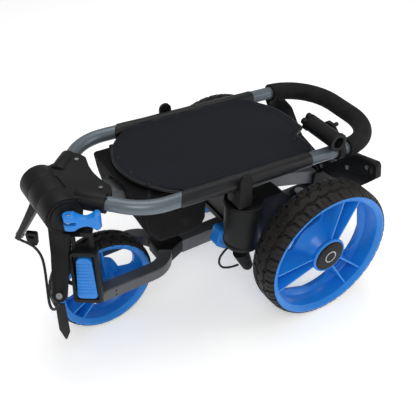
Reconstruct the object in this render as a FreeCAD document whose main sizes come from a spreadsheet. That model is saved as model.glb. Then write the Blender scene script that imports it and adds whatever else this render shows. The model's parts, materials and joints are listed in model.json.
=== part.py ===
"""Three-wheel golf push cart, folded for storage.

Row frame: +X runs from the fold barrel towards the grip, -Y is the near side, +Z is up.
The origin is the middle of the folded cart's footprint, on the ground. Millimetres.
"""

import FreeCAD
import Part

import math
import os

from FreeCAD import Placement, Rotation, Vector

SIZES = {
    # wheels
    "axle_x": (146, "rear axle, along the cart"),
    "rear_tyre_r": (140, "rear tyre radius, and height of its axle"),
    "rear_rim_r": (131, "rear rim lip radius"),
    "rear_tyre_w": (65, "rear tyre width"),
    "wheel_y": (184.5, "middle of a rear tyre from the centre plane"),
    "cap_r": (32, "rear hub cap radius"),
    "front_x": (-230, "front axle, along the cart"),
    "front_tyre_r": (100.5, "front tyre radius, and height of its axle"),
    "front_rim_r": (93, "front rim lip radius"),
    "front_tyre_w": (50, "front tyre width"),
    # fold barrel and handle loop
    "barrel_x": (-300, "fold barrel axis, along the cart"),
    "barrel_z": (322, "fold barrel axis, height"),
    "barrel_r": (33, "fold barrel radius"),
    "barrel_half": (56, "half the length of the fold barrel"),
    "core_half": (19, "half the length of the barrel's middle knuckle"),
    "skewer_r": (6, "radius of the pin through the barrel"),
    "tube_r": (12.7, "handle loop tube radius"),
    "tube_wall": (1.6, "handle loop tube wall"),
    "loop_z": (337.4, "height of the loop's plane above the barrel axis"),
    "loop_tilt": (4.004, "fall of the loop towards the grip, degrees"),
    "loop_half": (122, "tube centre from the centre plane"),
    "loop_end": (636.1, "tube centre at the grip end, from the barrel"),
    "bend_r": (100, "tube bend behind the yoke"),
    "corner_r": (95, "tube bend at the grip"),
    "grip_r": (18, "foam grip radius"),
    "grip_start": (541, "start of the foam grip, from the barrel"),
    # main beam and joints
    "beam_w": (40, "main beam width"),
    "beam_tall": (30, "main beam height"),
    "beam_wall": (2.5, "main beam wall"),
    "joint_x": (296, "front arm hinge, along the cart"),
    "joint_z": (110, "front arm hinge, height"),
    "joint_r": (16, "front arm knuckle radius"),
    "arm_w": (28, "front arm width"),
    "arm_tall": (30, "front arm height"),
    "fork_w": (26, "fork tube width"),
    "fork_tall": (24, "fork tube height"),
    "fork_z": (121, "fork tube centre height"),
    "fork_y": (55, "fork tube from the centre plane"),
    "fork_bend_r": (50, "fork tube bend"),
    # rear legs
    "leg_x": (16, "leg hinge, along the cart"),
    "leg_y": (110, "leg hinge from the centre plane"),
    "leg_len": (130, "leg hinge to carrier hinge"),
    "knuckle_r": (35, "leg knuckle radius"),
    "knuckle_low": (162, "underside of the leg knuckle"),
    "knuckle_top": (262, "top of the leg knuckle"),
    "leg_pin_r": (6, "leg hinge pin radius"),
    "link_dx": (18, "tie bar hinge from the leg hinge, along the cart"),
    "link_dy": (48, "tie bar hinge from the leg hinge, inwards"),
    "stud_r": (4, "tie bar stud radius"),
    "run_gap": (0.05, "running clearance round a pin"),
    # accessories
    "socket_x": (203, "umbrella socket, along the cart"),
    "socket_y": (88, "umbrella socket hinge from the centre plane"),
    "socket_z": (333, "umbrella socket height"),
    "socket_r": (16, "umbrella socket outer radius"),
    "socket_bore": (11, "umbrella socket bore radius"),
    "cord_r": (2.5, "bungee cord radius"),
    "cable_r": (2.2, "brake cable radius"),
}

doc = FreeCAD.newDocument("push_cart")
sheet = doc.addObject("Spreadsheet::Sheet", "Sizes")
for row, (alias, (value, note)) in enumerate(SIZES.items(), start=1):
    sheet.set(f"A{row}", note)
    sheet.set(f"B{row}", str(value))
    sheet.setAlias(f"B{row}", alias)
doc.recompute()

NODES = []
SIDES = (("near", -1), ("far", 1))
ALONG_X = Rotation(Vector(0, 1, 0), 90)
ALONG_Y = Rotation(Vector(1, 0, 0), -90)
UPRIGHT = Rotation()


def size(alias):
    """A driving dimension as a number."""
    return float(sheet.get(alias))


def bind(obj, **expressions):
    """Bind properties to expressions; a word of the sheet is written as Sizes.word."""
    for prop, text in expressions.items():
        obj.setExpression(prop.replace("__", "."), str(text))
    return obj


def place(obj, x=0, y=0, z=0, turn=UPRIGHT):
    """Give an object its turn, and bind its place."""
    obj.Placement = Placement(Vector(), turn)
    return bind(obj, Placement__Base__x=x, Placement__Base__y=y, Placement__Base__z=z)


def node(obj, label):
    """Name a finished sub-part."""
    obj.Label = label
    NODES.append(obj)
    return obj


def box(name, low, high):
    """A box between two corners given as expressions."""
    obj = doc.addObject("Part::Box", name)
    for prop, a, b in zip(("Length", "Width", "Height"), low, high):
        bind(obj, **{prop: f"({b}) - ({a})"})
    return place(obj, *low)


def rod(name, radius, length, x=0, y=0, z=0, turn=UPRIGHT):
    """A cylinder from a place, along +Z unless it is turned."""
    obj = doc.addObject("Part::Cylinder", name)
    bind(obj, Radius=radius, Height=length)
    return place(obj, x, y, z, turn)


def fuse(name, *shapes):
    obj = doc.addObject("Part::MultiFuse", name)
    obj.Shapes = list(shapes)
    obj.Refine = True
    return obj


def cut(name, base, *tools):
    obj = doc.addObject("Part::Cut", name)
    obj.Base = base
    obj.Tool = tools[0] if len(tools) == 1 else fuse(name + "_tools", *tools)
    obj.Refine = True
    return obj


def group(name, *shapes):
    """Separate like solids that share one node."""
    obj = doc.addObject("Part::Compound", name)
    obj.Links = list(shapes)
    return obj


def solid(name, shape, placement=None):
    """A sub-part whose shape is worked out here."""
    obj = doc.addObject("Part::Feature", name)
    obj.Shape = shape
    if placement:
        obj.Placement = placement
    return obj


def outline(points, radii):
    """Edges of a closed outline of (a, b) points whose corners are arcs of the given radii."""
    count = len(points)
    corners = []
    for n, (a, b) in enumerate(points):
        here = Vector(a, b, 0)
        radius = radii[n] if isinstance(radii, (list, tuple)) else radii
        if not radius:
            corners.append((here, here, here))
            continue
        before = (Vector(*points[n - 1], 0) - here).normalize()
        after = (Vector(*points[(n + 1) % count], 0) - here).normalize()
        half = before.getAngle(after) / 2
        back = radius / math.tan(half)
        middle = (before + after).normalize()
        centre = here + middle * (radius / math.sin(half))
        corners.append((here + before * back, centre - middle * radius, here + after * back))
    edges = []
    for n in range(count):
        start, mid, end = corners[n]
        if (end - start).Length > 1e-6:
            edges.append(Part.Arc(start, mid, end))
        following = corners[(n + 1) % count][0]
        if (following - end).Length > 1e-6:
            edges.append(Part.LineSegment(end, following))
    return edges


PLANES = {"XY": "XY_Plane", "XZ": "XZ_Plane", "YZ": "YZ_Plane"}


def body(name, label=None):
    obj = doc.addObject("PartDesign::Body", name)
    if label:
        node(obj, label)
    return obj


def sketch(owner, name, plane, edges):
    """A sketch of edges on one of the body's own planes."""
    obj = owner.newObject("Sketcher::SketchObject", name)
    role = PLANES[plane]
    face = next(f for f in owner.Origin.OriginFeatures if f.Role == role)
    obj.AttachmentSupport = [(face, "")]
    obj.MapMode = "FlatFace"
    obj.addGeometry(edges, False)
    doc.recompute()
    return obj


def pad(owner, name, plane, edges, length, midplane=False, reverse=False):
    """A pad of a closed outline; its length is an expression."""
    obj = owner.newObject("PartDesign::Pad", name)
    obj.Profile = sketch(owner, name + "_sketch", plane, edges)
    obj.Midplane = midplane
    obj.Reversed = reverse
    bind(obj, Length=length)
    doc.recompute()
    return obj


def pocket(owner, name, plane, edges, midplane=True):
    """A cut through everything, both ways."""
    before = owner.Shape.Volume
    obj = owner.newObject("PartDesign::Pocket", name)
    obj.Profile = sketch(owner, name + "_sketch", plane, edges)
    obj.Type = "ThroughAll"
    obj.Midplane = midplane
    doc.recompute()
    if owner.Shape.Volume > before - 1:
        raise RuntimeError(name + " cuts nothing")
    return obj


def revolve(owner, name, points, radii=0):
    """A full turn of an outline of (radius, height) points about the body's Z axis."""
    obj = owner.newObject("PartDesign::Revolution", name)
    obj.Profile = sketch(owner, name + "_sketch", "XZ", outline(points, radii))
    axis = next(f for f in owner.Origin.OriginFeatures if f.Role == "Z_Axis")
    obj.ReferenceAxis = (axis, [""])
    obj.Angle = 360
    doc.recompute()
    return obj


def spread(owner, feature, count):
    """Repeat a feature round the body's Z axis."""
    obj = owner.newObject("PartDesign::PolarPattern", feature.Name + "_turns")
    obj.Originals = [feature]
    axis = next(f for f in owner.Origin.OriginFeatures if f.Role == "Z_Axis")
    obj.Axis = (axis, [""])
    obj.Angle = 360
    obj.Occurrences = count
    owner.Tip = obj
    doc.recompute()
    return obj


def circle(radius, a=0.0, b=0.0):
    return [Part.Circle(Vector(a, b, 0), Vector(0, 0, 1), radius)]


def plate(name, plane, points, radii, thickness, holes=()):
    """A plate on a plane through the middle of its thickness, with round holes (a, b, radius)."""
    obj = body(name)
    pad(obj, name + "_pad", plane, outline(points, radii), thickness, midplane=True)
    for n, (a, b, radius) in enumerate(holes):
        pocket(obj, f"{name}_hole{n}", plane, circle(radius, a, b))
    return obj


def sweep(name, wire, profile):
    """A closed profile carried along a wire."""
    spine = solid(name + "_path", wire)
    section = solid(name + "_section", profile)
    obj = doc.addObject("Part::Sweep", name)
    obj.Sections = [section]
    obj.Spine = (spine, [f"Edge{n}" for n in range(1, len(wire.Edges) + 1)])
    obj.Solid = True
    obj.Transition = "Transformed"
    return obj


def ring(radius, centre, heading):
    """A circular wire square to a heading."""
    return Part.Wire([Part.Circle(centre, heading, radius).toShape()])


# ------------------------------------------------------------------ wheels


BEARING_R = 11
HUB_HALF = 25
AXLE_R = 6


def rim(label, lip_r, width, hub_r, centre, outer, turn):
    """One-piece rim with its web set deep behind the outer face, a flared hub and three ribbed spokes."""
    half = width / 2
    barrel = lip_r - 9
    skin = barrel - 3.5
    part = width / 65
    unit = skin / 118.5
    web = half - 44.5 * part
    section = [
        (BEARING_R, -HUB_HALF), (BEARING_R, HUB_HALF), (hub_r, HUB_HALF), (hub_r + 2, half - 14 * part),
        (hub_r + 12 * part, half - 30 * part), (hub_r + 28 * part, web + 2), (skin - 9 * part, web),
        (skin, web + 8), (skin, half - 6), (lip_r - 3.5, half), (lip_r, half), (lip_r, half - 4),
        (barrel, half - 10), (barrel, -half + 10), (lip_r, -half + 4), (lip_r, -half),
        (lip_r - 3.5, -half), (skin, -half + 6), (skin, web - 6), (hub_r + 24 * part, web - 5),
        (hub_r, web - 5), (hub_r - 3, -HUB_HALF),
    ]
    obj = body(label + "_body")
    revolve(obj, label + "_turned", [(a, outer * b) for a, b in section],
            [0, 0, 1, 4, 14, 12, 6, 6, 2, 1.5, 0, 1, 1, 1, 1, 0, 1.5, 2, 2.5, 6, 3, 1])
    opening = []
    for reach, angle in ((62, 20), (108, 13.5), (117, 36), (117, 84), (108, 106.5), (62, 100), (62, 60)):
        angle = math.radians(angle)
        opening.append((reach * unit * math.cos(angle), reach * unit * math.sin(angle)))
    cutter = pocket(obj, label + "_opening", "XY",
                    outline(opening, [r * unit for r in (8, 14, 50, 50, 14, 8, 45)]))
    spread(obj, cutter, 3)
    base = Placement(Vector(*centre), ALONG_Y.multiply(Rotation(Vector(0, 0, 1), turn)))
    obj.Placement = base
    ribs = []
    low, high = sorted((outer * (web - 2), outer * (half - 8 * part)))
    cross_low, cross_high = sorted((outer * (web - 2), outer * (web + 14 * part)))
    for spoke in range(3):
        spoke_turn = Placement(Vector(), Rotation(Vector(0, 0, 1), 120 * spoke))
        for edge in (-1, 1):
            rib = doc.addObject("Part::Box", f"{label}_rib{spoke}{edge}")
            bind(rib, Length=91.3 * unit, Width=3, Height=high - low)
            at = Placement(Vector(28 * unit, edge * 9 * unit - 1.5, low), Rotation(Vector(0, 0, 1), edge * 7.55))
            rib.Placement = base.multiply(spoke_turn).multiply(at)
            ribs.append(rib)
        tie = doc.addObject("Part::Box", f"{label}_tie{spoke}")
        bind(tie, Length=3, Width=34 * unit, Height=cross_high - cross_low)
        at = Placement(Vector(88 * unit - 1.5, -17 * unit, cross_low), UPRIGHT)
        tie.Placement = base.multiply(spoke_turn).multiply(at)
        ribs.append(tie)
    node(fuse(label + "_blank", obj, *ribs), label)


def tyre(label, tread_r, seat_r, width):
    """Solid foam-core tyre with a crowned tread."""
    half = width / 2
    obj = body(label + "_body", label)
    barrel = seat_r - 8.9
    section = [
        (barrel, -half + 11), (barrel, half - 11), (seat_r + 0.1, half - 4.4),
        (seat_r + 0.1, half), (tread_r - 4, half), (tread_r, half - 12),
        (tread_r, -half + 12), (tread_r - 4, -half), (seat_r + 0.1, -half), (seat_r + 0.1, -half + 4.4),
    ]
    revolve(obj, label + "_turned", section, [0, 0, 0, 1, 3, 12, 12, 3, 1, 0])
    obj.Placement = Placement(Vector(), ALONG_Y)
    return obj


def wheel_at(label, x, y, z):
    """Move a finished wheel piece to its axle; it keeps its turn."""
    obj = next(n for n in NODES if n.Label == label)
    bind(obj, Placement__Base__x=x, Placement__Base__y=y, Placement__Base__z=z)


for side, way in SIDES:
    middle = f"{way} * Sizes.wheel_y"
    rim(f"rear_rim_{side}", size("rear_rim_r"), size("rear_tyre_w"), 30,
        (size("axle_x"), way * size("wheel_y"), size("rear_tyre_r")), way, 51)
    tyre(f"rear_tyre_{side}", size("rear_tyre_r"), size("rear_rim_r"), size("rear_tyre_w"))
    wheel_at(f"rear_tyre_{side}", "Sizes.axle_x", middle, "Sizes.rear_tyre_r")
    # two ball bearings pressed into the hub, one at each end
    rings = []
    for end in (-1, 1):
        at_y = f"{way} * Sizes.wheel_y + {end * 20 - 4}"
        outer = rod(f"bearing_outer_{side}{end}", BEARING_R - 0.02, 8, "Sizes.axle_x", at_y,
                    "Sizes.rear_tyre_r", ALONG_Y)
        inner = rod(f"bearing_inner_{side}{end}", f"{AXLE_R} + Sizes.run_gap", 8, "Sizes.axle_x", at_y,
                    "Sizes.rear_tyre_r", ALONG_Y)
        rings.append(cut(f"bearing_{side}{end}", outer, inner))
    node(group(f"hub_bearings_{side}_set", *rings), f"hub_bearings_{side}")
    # domed cap on the outer end of the hub
    cap = body(f"hub_cap_{side}_body", f"hub_cap_{side}")
    revolve(cap, f"hub_cap_{side}_turned",
            [(0, 0.1), (size("cap_r") - 3, 0.1), (size("cap_r"), 1), (size("cap_r"), 4), (size("cap_r") - 4, 6.5), (0, 7.5)],
            [0, 0, 0.5, 1.5, 4, 0])
    cap.Placement = Placement(Vector(), Rotation(Vector(1, 0, 0), -90 * way))
    bind(cap, Placement__Base__x="Sizes.axle_x", Placement__Base__y=f"{way} * (Sizes.wheel_y + {HUB_HALF})",
         Placement__Base__z="Sizes.rear_tyre_r")

rim("front_rim", size("front_rim_r"), size("front_tyre_w"), 20,
    (size("front_x"), 0, size("front_tyre_r")), -1, 20)
tyre("front_tyre", size("front_tyre_r"), size("front_rim_r"), size("front_tyre_w"))
wheel_at("front_tyre", "Sizes.front_x", "0", "Sizes.front_tyre_r")
front_rings = []
for end in (-1, 1):
    at_y = f"{end * 20 - 4}"
    outer = rod(f"front_bearing_outer{end}", BEARING_R - 0.02, 8, "Sizes.front_x", at_y,
                "Sizes.front_tyre_r", ALONG_Y)
    inner = rod(f"front_bearing_inner{end}", f"{AXLE_R} + Sizes.run_gap", 8, "Sizes.front_x", at_y,
                "Sizes.front_tyre_r", ALONG_Y)
    front_rings.append(cut(f"front_bearing{end}", outer, inner))
node(group("front_bearings_set", *front_rings), "front_bearings")

# ------------------------------------------------------------------ main beam

beam_run = Vector(size("joint_x") - 34 - size("barrel_x"), 0, 160 - size("barrel_z"))
beam_fall = math.degrees(math.atan2(-beam_run.z, beam_run.x))
BEAM_TURN = Rotation(Vector(0, 1, 0), beam_fall)
BARREL = Vector(size("barrel_x"), 0, size("barrel_z"))


def beam_box(name, start, stop, wide, tall, lift=0):
    """A box along the beam's own line, between two distances from the barrel, raised by lift."""
    obj = doc.addObject("Part::Box", name)
    bind(obj, Length=f"{stop - start}", Width=wide, Height=tall)
    corner = BARREL + BEAM_TURN.multVec(Vector(start, 0, lift))
    offset = BEAM_TURN.multVec(Vector(0, 0, 1))
    obj.Placement = Placement(Vector(), BEAM_TURN)
    return bind(
        obj,
        Placement__Base__x=f"{corner.x} - {offset.x} * ({tall}) / 2",
        Placement__Base__y=f"-({wide}) / 2",
        Placement__Base__z=f"{corner.z} - {offset.z} * ({tall}) / 2",
    )


BEAM_END = beam_run.Length
inside_w = "Sizes.beam_w - 2 * Sizes.beam_wall"
inside_tall = "Sizes.beam_tall - 2 * Sizes.beam_wall"
barrel_clear = rod("beam_barrel_clear", "Sizes.barrel_r + 0.1", 120, "Sizes.barrel_x", -60,
                   "Sizes.barrel_z", ALONG_Y)
node(cut("main_beam_cut", beam_box("beam_outer", 20, BEAM_END, "Sizes.beam_w", "Sizes.beam_tall"),
         beam_box("beam_inner", 10, BEAM_END + 10, inside_w, inside_tall), barrel_clear), "main_beam")

core = fuse("core_blank",
            rod("core_drum", "Sizes.barrel_r", "2 * Sizes.core_half", "Sizes.barrel_x",
                "-Sizes.core_half", "Sizes.barrel_z", ALONG_Y),
            beam_box("core_tongue", 15, 85, "Sizes.beam_w - 2 * Sizes.beam_wall - 0.4",
                     "Sizes.beam_tall - 2 * Sizes.beam_wall - 0.4"))
core_bore = rod("core_bore", "Sizes.skewer_r + Sizes.run_gap", 120, "Sizes.barrel_x", -60,
                "Sizes.barrel_z", ALONG_Y)
node(cut("hinge_core_cut", core, core_bore), "hinge_core")

# block at the beam's far end that carries the front arm's hinge pin and the lower bag bracket
BLOCK_HALF = 27
block = body("front_hinge_block_body")
pad(block, "block_pad", "XZ",
    outline([(-40, -24), (24, -24), (24, 62), (-40, 62)], [16, 16, 8, 8]), f"{2 * BLOCK_HALF}", midplane=True)
block.Placement = Placement(Vector(), UPRIGHT)
place(block, "Sizes.joint_x", 0, "Sizes.joint_z")
slot = box("block_slot", ("Sizes.joint_x - 60", "-Sizes.joint_r - 2.6", "Sizes.joint_z - 40"),
           ("Sizes.joint_x + 60", "Sizes.joint_r + 2.6", "Sizes.joint_z + 22"))
pin_hole = rod("block_pin_hole", "6", 80, "Sizes.joint_x", -40, "Sizes.joint_z", ALONG_Y)
beam_seat = beam_box("block_beam_seat", BEAM_END - 60, BEAM_END + 0.3, "Sizes.beam_w + 0.2",
                     "Sizes.beam_tall + 0.2")
node(cut("front_hinge_block_cut", block, slot, pin_hole, beam_seat), "front_hinge_block")
pin_shaft = rod("front_pin_shaft", "5.98", f"{2 * BLOCK_HALF + 8}", "Sizes.joint_x", -BLOCK_HALF - 4,
                "Sizes.joint_z", ALONG_Y)
pin_head = rod("front_pin_head", "9.5", 4, "Sizes.joint_x", -BLOCK_HALF - 4.1, "Sizes.joint_z", ALONG_Y)
pin_tail = rod("front_pin_tail", "9.5", 4, "Sizes.joint_x", BLOCK_HALF + 0.1, "Sizes.joint_z", ALONG_Y)
node(fuse("front_hinge_pin_blank", pin_shaft, pin_head, pin_tail), "front_hinge_pin")

# lower bag bracket: a wide V of two wings across the beam's end
BRACKET_X = 278
BRACKET_T = 14
half_v = [(0, 176), (62, 182), (146, 212), (180, 250), (175, 281), (99, 262), (58, 215), (0, 200)]
v_points = half_v + [(-a, b) for a, b in half_v[-2:0:-1]]
v_radii = [6, 20, 12, 8, 8, 14, 14, 10] + [14, 14, 8, 8, 12, 20]
wings = body("lower_bracket_body")
pad(wings, "wings_pad", "YZ", outline(v_points, v_radii), f"{BRACKET_T}", midplane=True)
for way in (-1, 1):
    pocket(wings, f"strap_slot{way}", "YZ",
           outline([(way * 160, 241), (way * 168, 241), (way * 168, 265), (way * 160, 265)], 3))
doc.recompute()
place(wings, BRACKET_X, 0, 0)
foot = box("bracket_foot", (f"{BRACKET_X - 11}", "-20", "172.2"), (f"{BRACKET_X + 12}", "20", "182"))
node(fuse("lower_bag_bracket_blank", wings, foot), "lower_bag_bracket")
SCREWS = ((155, 262), (104, 232), (30, 191))
heads = []
for n, (a, b) in enumerate(SCREWS):
    for way in (-1, 1):
        heads.append(rod(f"bracket_screw{n}{way}", "4.4", "2.4", BRACKET_X - BRACKET_T / 2 - 2.5, way * a, b, ALONG_X))
node(group("bracket_screws_set", *heads), "bracket_screws")

# casting that holds both rear legs: a plate above and a plate below, on a block round the beam
UNDER_TOP = 159
UNDER_LOW = 147
OVER_LOW = 264
OVER_TOP = 272
OUT = size("leg_y")
LEG_X = size("leg_x")
over_points = [(LEG_X - 22, -OUT - 14), (LEG_X + 20, -OUT - 14), (60, -30), (60, 30),
               (LEG_X + 20, OUT + 14), (LEG_X - 22, OUT + 14), (22, 30), (22, -30)]
under_points = [(LEG_X - 10, -OUT - 14), (LEG_X + 30, -OUT - 14), (LEG_X + 34, -50), (72, -30), (72, 30),
                (LEG_X + 34, 50), (LEG_X + 30, OUT + 14), (LEG_X - 10, OUT + 14), (LEG_X + 3, 84),
                (22, 40), (22, -40), (LEG_X + 3, -84)]
over = plate("leg_over", "XY", over_points, [12, 12, 20, 20, 12, 12, 16, 16], f"{OVER_TOP - OVER_LOW}",
             [(LEG_X, way * OUT, size("leg_pin_r") + 0.01) for way in (-1, 1)])
place(over, 0, 0, (OVER_TOP + OVER_LOW) / 2)
under_holes = [(LEG_X, way * OUT, size("leg_pin_r") + 0.01) for way in (-1, 1)]
under_holes += [(LEG_X + size("link_dx"), way * (OUT - size("link_dy")), size("stud_r") + size("run_gap"))
                for way in (-1, 1)]
under = plate("leg_under", "XY", under_points, [10, 12, 20, 20, 20, 20, 12, 10, 10, 10, 10, 10],
              f"{UNDER_TOP - UNDER_LOW}", under_holes)
place(under, 0, 0, (UNDER_TOP + UNDER_LOW) / 2)
yoke_block = box("leg_block", ("26", "-32", f"{UNDER_TOP - 6}"), ("68", "32", f"{OVER_LOW + 4}"))
yoke_seat = beam_box("leg_block_seat", 200, 460, "Sizes.beam_w + 0.2", "Sizes.beam_tall + 0.2")
PEDAL = Vector(10, -60, 134)
lugs = []
for n, lug_y in enumerate((-45.5, -74.5)):
    lug = plate(f"pedal_lug{n}", "XZ", [(3, 127), (17, 127), (30, 147.5), (30, 150), (18, 150), (3, 141)],
                [5, 5, 1, 1, 2, 5], "3", [(PEDAL.x, PEDAL.z, 3.05)])
    lugs.append(place(lug, 0, lug_y, 0))
node(cut("leg_yoke_cut", fuse("leg_yoke_blank", over, under, yoke_block, *lugs), yoke_seat), "leg_yoke")

pins = []
for side, way in SIDES:
    shaft = rod(f"leg_pin_shaft_{side}", "Sizes.leg_pin_r", "133", "Sizes.leg_x", f"{way} * Sizes.leg_y", 143)
    head = rod(f"leg_pin_head_{side}", "10", "3.5", "Sizes.leg_x", f"{way} * Sizes.leg_y", OVER_TOP + 0.1)
    tail = rod(f"leg_pin_tail_{side}", "9", "3.5", "Sizes.leg_x", f"{way} * Sizes.leg_y", UNDER_LOW - 3.6)
    pins.append(fuse(f"leg_pin_{side}", shaft, head, tail))
node(group("leg_pins_set", *pins), "leg_pins")

# saddles that hold the folded loop's tubes, each with an outer cheek and its screw
REST_X = -2
REST_Z = size("loop_z") - (REST_X - size("barrel_x")) * math.tan(math.radians(size("loop_tilt")))
rests = []
for side, way in SIDES:
    base = box(f"rest_block_{side}",
               (REST_X - 13, f"{way} * Sizes.loop_half - {19 - 2 * way}", OVER_TOP + 0.1),
               (REST_X + 13, f"{way} * Sizes.loop_half + {19 + 2 * way}", f"{REST_Z - 4}"))
    cheek = rod(f"rest_cheek_{side}", "12.5", "6", REST_X,
                f"{way} * (Sizes.loop_half + 21) - {3 + 3 * way}", f"{REST_Z + 11}", ALONG_Y)
    cheek_web = box(f"rest_web_{side}",
                    (REST_X - 12.5, f"{way} * (Sizes.loop_half + 18) - 3", f"{REST_Z - 8}"),
                    (REST_X + 12.5, f"{way} * (Sizes.loop_half + 18) + 3", f"{REST_Z + 11}"))
    tube_gap = rod(f"rest_gap_{side}", "Sizes.tube_r + 2.3", "60", REST_X - 30,
                   f"{way} * Sizes.loop_half",
                   f"{REST_Z + 30 * math.tan(math.radians(size('loop_tilt')))}",
                   Rotation(Vector(0, 1, 0), 90 + size("loop_tilt")))
    head_gap = rod(f"rest_pin_gap_{side}", "10.6", "5", "Sizes.leg_x", f"{way} * Sizes.leg_y", OVER_TOP - 0.5)
    rests.append(cut(f"rest_{side}", fuse(f"rest_blank_{side}", base, cheek, cheek_web), tube_gap, head_gap))
node(group("tube_rests_set", *rests), "tube_rests")

# ribbed rubber boot below the near leg hinge, where the brake cable goes in
boot = body("brake_boot_body", "brake_boot")
ribs = [(3, 0.1)]
for n in range(6):
    low = 2 + n * 8.6
    wide = 15.5 - n * 0.9
    ribs += [(wide, low), (wide, low + 5.2), (wide - 3.4, low + 6.2), (wide - 3.4, low + 7.6)]
ribs += [(8, 56), (3, 57)]
revolve(boot, "boot_turned", ribs, 0.4)
BOOT_TURN = Rotation(Vector(1, 0, 0), 180).multiply(Rotation(Vector(0, 1, 0), 22))
boot.Placement = Placement(Vector(), BOOT_TURN)
bind(boot, Placement__Base__x=14, Placement__Base__y=-108, Placement__Base__z=136)

# ------------------------------------------------------------------ rear legs

CARRIER_X = LEG_X + size("leg_len")
LEG_END_TOP = 216
for side, way in SIDES:
    y = way * OUT
    # leg: a tall knuckle, an arm and a lower knuckle at the wheel carrier
    leg = body(f"leg_{side}_body")
    pad(leg, f"leg_knuckle_{side}", "XY", circle(size("knuckle_r"), 0, 0),
        "Sizes.knuckle_top - Sizes.knuckle_low")
    doc.recompute()
    place(leg, "Sizes.leg_x", f"{way} * Sizes.leg_y", "Sizes.knuckle_low")
    web = body(f"leg_web_{side}")
    pad(web, f"leg_web_pad_{side}", "XZ",
        outline([(0, 0), (134, 2), (134, 46), (96, 50), (78, 98), (0, 99.4)], [2, 4, 10, 12, 12, 2]),
        "38", midplane=True)
    doc.recompute()
    place(web, "Sizes.leg_x", f"{way} * Sizes.leg_y", "Sizes.knuckle_low")
    tip = rod(f"leg_tip_{side}", "16", f"{LEG_END_TOP} - Sizes.knuckle_low - 6", f"{CARRIER_X}",
              f"{way} * Sizes.leg_y", "Sizes.knuckle_low + 1")
    bores = [rod(f"leg_bore_{side}{n}", "Sizes.leg_pin_r + Sizes.run_gap", "140", x,
                 f"{way} * Sizes.leg_y", 140) for n, x in enumerate(("Sizes.leg_x", f"{CARRIER_X}"))]
    whole = fuse(f"leg_whole_{side}", leg, web, tip)
    node(cut(f"leg_{side}_cut", whole, *bores), f"leg_{side}")

    # wheel carrier: a plate beside the wheel with an ear above and an ear below the leg's end
    sx = size("link_dx")
    sy = size("link_dy")
    side_plate = body(f"carrier_plate_{side}")
    pad(side_plate, f"carrier_plate_pad_{side}", "XZ",
        outline([(-22, -24), (30, -24), (34, 20), (26, 88), (-18, 88), (-24, 20)], [18, 18, 20, 8, 8, 20]),
        "14", midplane=True)
    doc.recompute()
    place(side_plate, "Sizes.axle_x", f"{way} * (Sizes.leg_y + 28)", "Sizes.rear_tyre_r")
    under_ear = plate(f"carrier_under_{side}", "XY",
                      [(CARRIER_X - 20, y + way * 24), (CARRIER_X + 20, y + way * 24),
                       (CARRIER_X + 30, y - way * (sy + 2)), (CARRIER_X + sx, y - way * (sy + 11)),
                       (CARRIER_X + 4, y - way * (sy - 2)), (CARRIER_X - 20, y - way * 14)],
                      [2, 2, 8, 9, 8, 12], f"{UNDER_TOP - UNDER_LOW}",
                      [(CARRIER_X, y, size("leg_pin_r") + 0.01),
                       (CARRIER_X + sx, y - way * sy, size("stud_r") + 0.08)])
    place(under_ear, 0, 0, (UNDER_TOP + UNDER_LOW) / 2)
    over_ear = plate(f"carrier_over_{side}", "XY",
                     [(CARRIER_X - 20, y + way * 24), (CARRIER_X + 20, y + way * 24),
                      (CARRIER_X + 20, y - way * 16), (CARRIER_X - 20, y - way * 16)],
                     [2, 2, 18, 18], "10", [(CARRIER_X, y, size("leg_pin_r") + 0.01)])
    place(over_ear, 0, 0, LEG_END_TOP + 5)
    node(fuse(f"wheel_carrier_{side}_blank", side_plate, under_ear, over_ear), f"wheel_carrier_{side}")

    # stub axle with its shoulder, and the carrier's own hinge pin
    inner_face = size("leg_y") + 35
    shoulder = rod(f"stub_shoulder_{side}", "12", "14", "Sizes.axle_x",
                   f"{way} * {inner_face + 7.1} - 7", "Sizes.rear_tyre_r", ALONG_Y)
    shaft = rod(f"stub_shaft_{side}", f"{AXLE_R}", "54", "Sizes.axle_x",
                f"{way} * {inner_face + 37} - 27", "Sizes.rear_tyre_r", ALONG_Y)
    node(fuse(f"stub_axle_{side}_blank", shoulder, shaft), f"stub_axle_{side}")
    pin_shaft = rod(f"carrier_pin_shaft_{side}", "Sizes.leg_pin_r", "81", f"{CARRIER_X}",
                    f"{way} * Sizes.leg_y", UNDER_LOW - 3)
    pin_head = rod(f"carrier_pin_head_{side}", "9.5", "3", f"{CARRIER_X}", f"{way} * Sizes.leg_y",
                   LEG_END_TOP + 10.1)
    pin_tail = rod(f"carrier_pin_tail_{side}", "9", "3", f"{CARRIER_X}", f"{way} * Sizes.leg_y",
                   UNDER_LOW - 3.1)
    node(fuse(f"carrier_pin_{side}_blank", pin_shaft, pin_head, pin_tail), f"carrier_pin_{side}")

    # tie bar that keeps the wheel parallel, with a stud up into each under plate
    tie_y = y - way * sy
    bar = plate(f"tie_bar_{side}", "XY",
                [(LEG_X + sx - 8, tie_y - 8), (CARRIER_X + sx + 8, tie_y - 8),
                 (CARRIER_X + sx + 8, tie_y + 8), (LEG_X + sx - 8, tie_y + 8)], 7.9, "12")
    place(bar, 0, 0, UNDER_LOW - 7)
    studs = [rod(f"tie_stud_{side}{n}", "Sizes.stud_r", "18", x, f"{tie_y}", UNDER_LOW - 8)
             for n, x in enumerate((f"{LEG_X + sx}", f"{CARRIER_X + sx}"))]
    node(fuse(f"leg_tie_{side}_blank", bar, *studs), f"leg_tie_{side}")

# ------------------------------------------------------------------ front arm and fork

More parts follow.
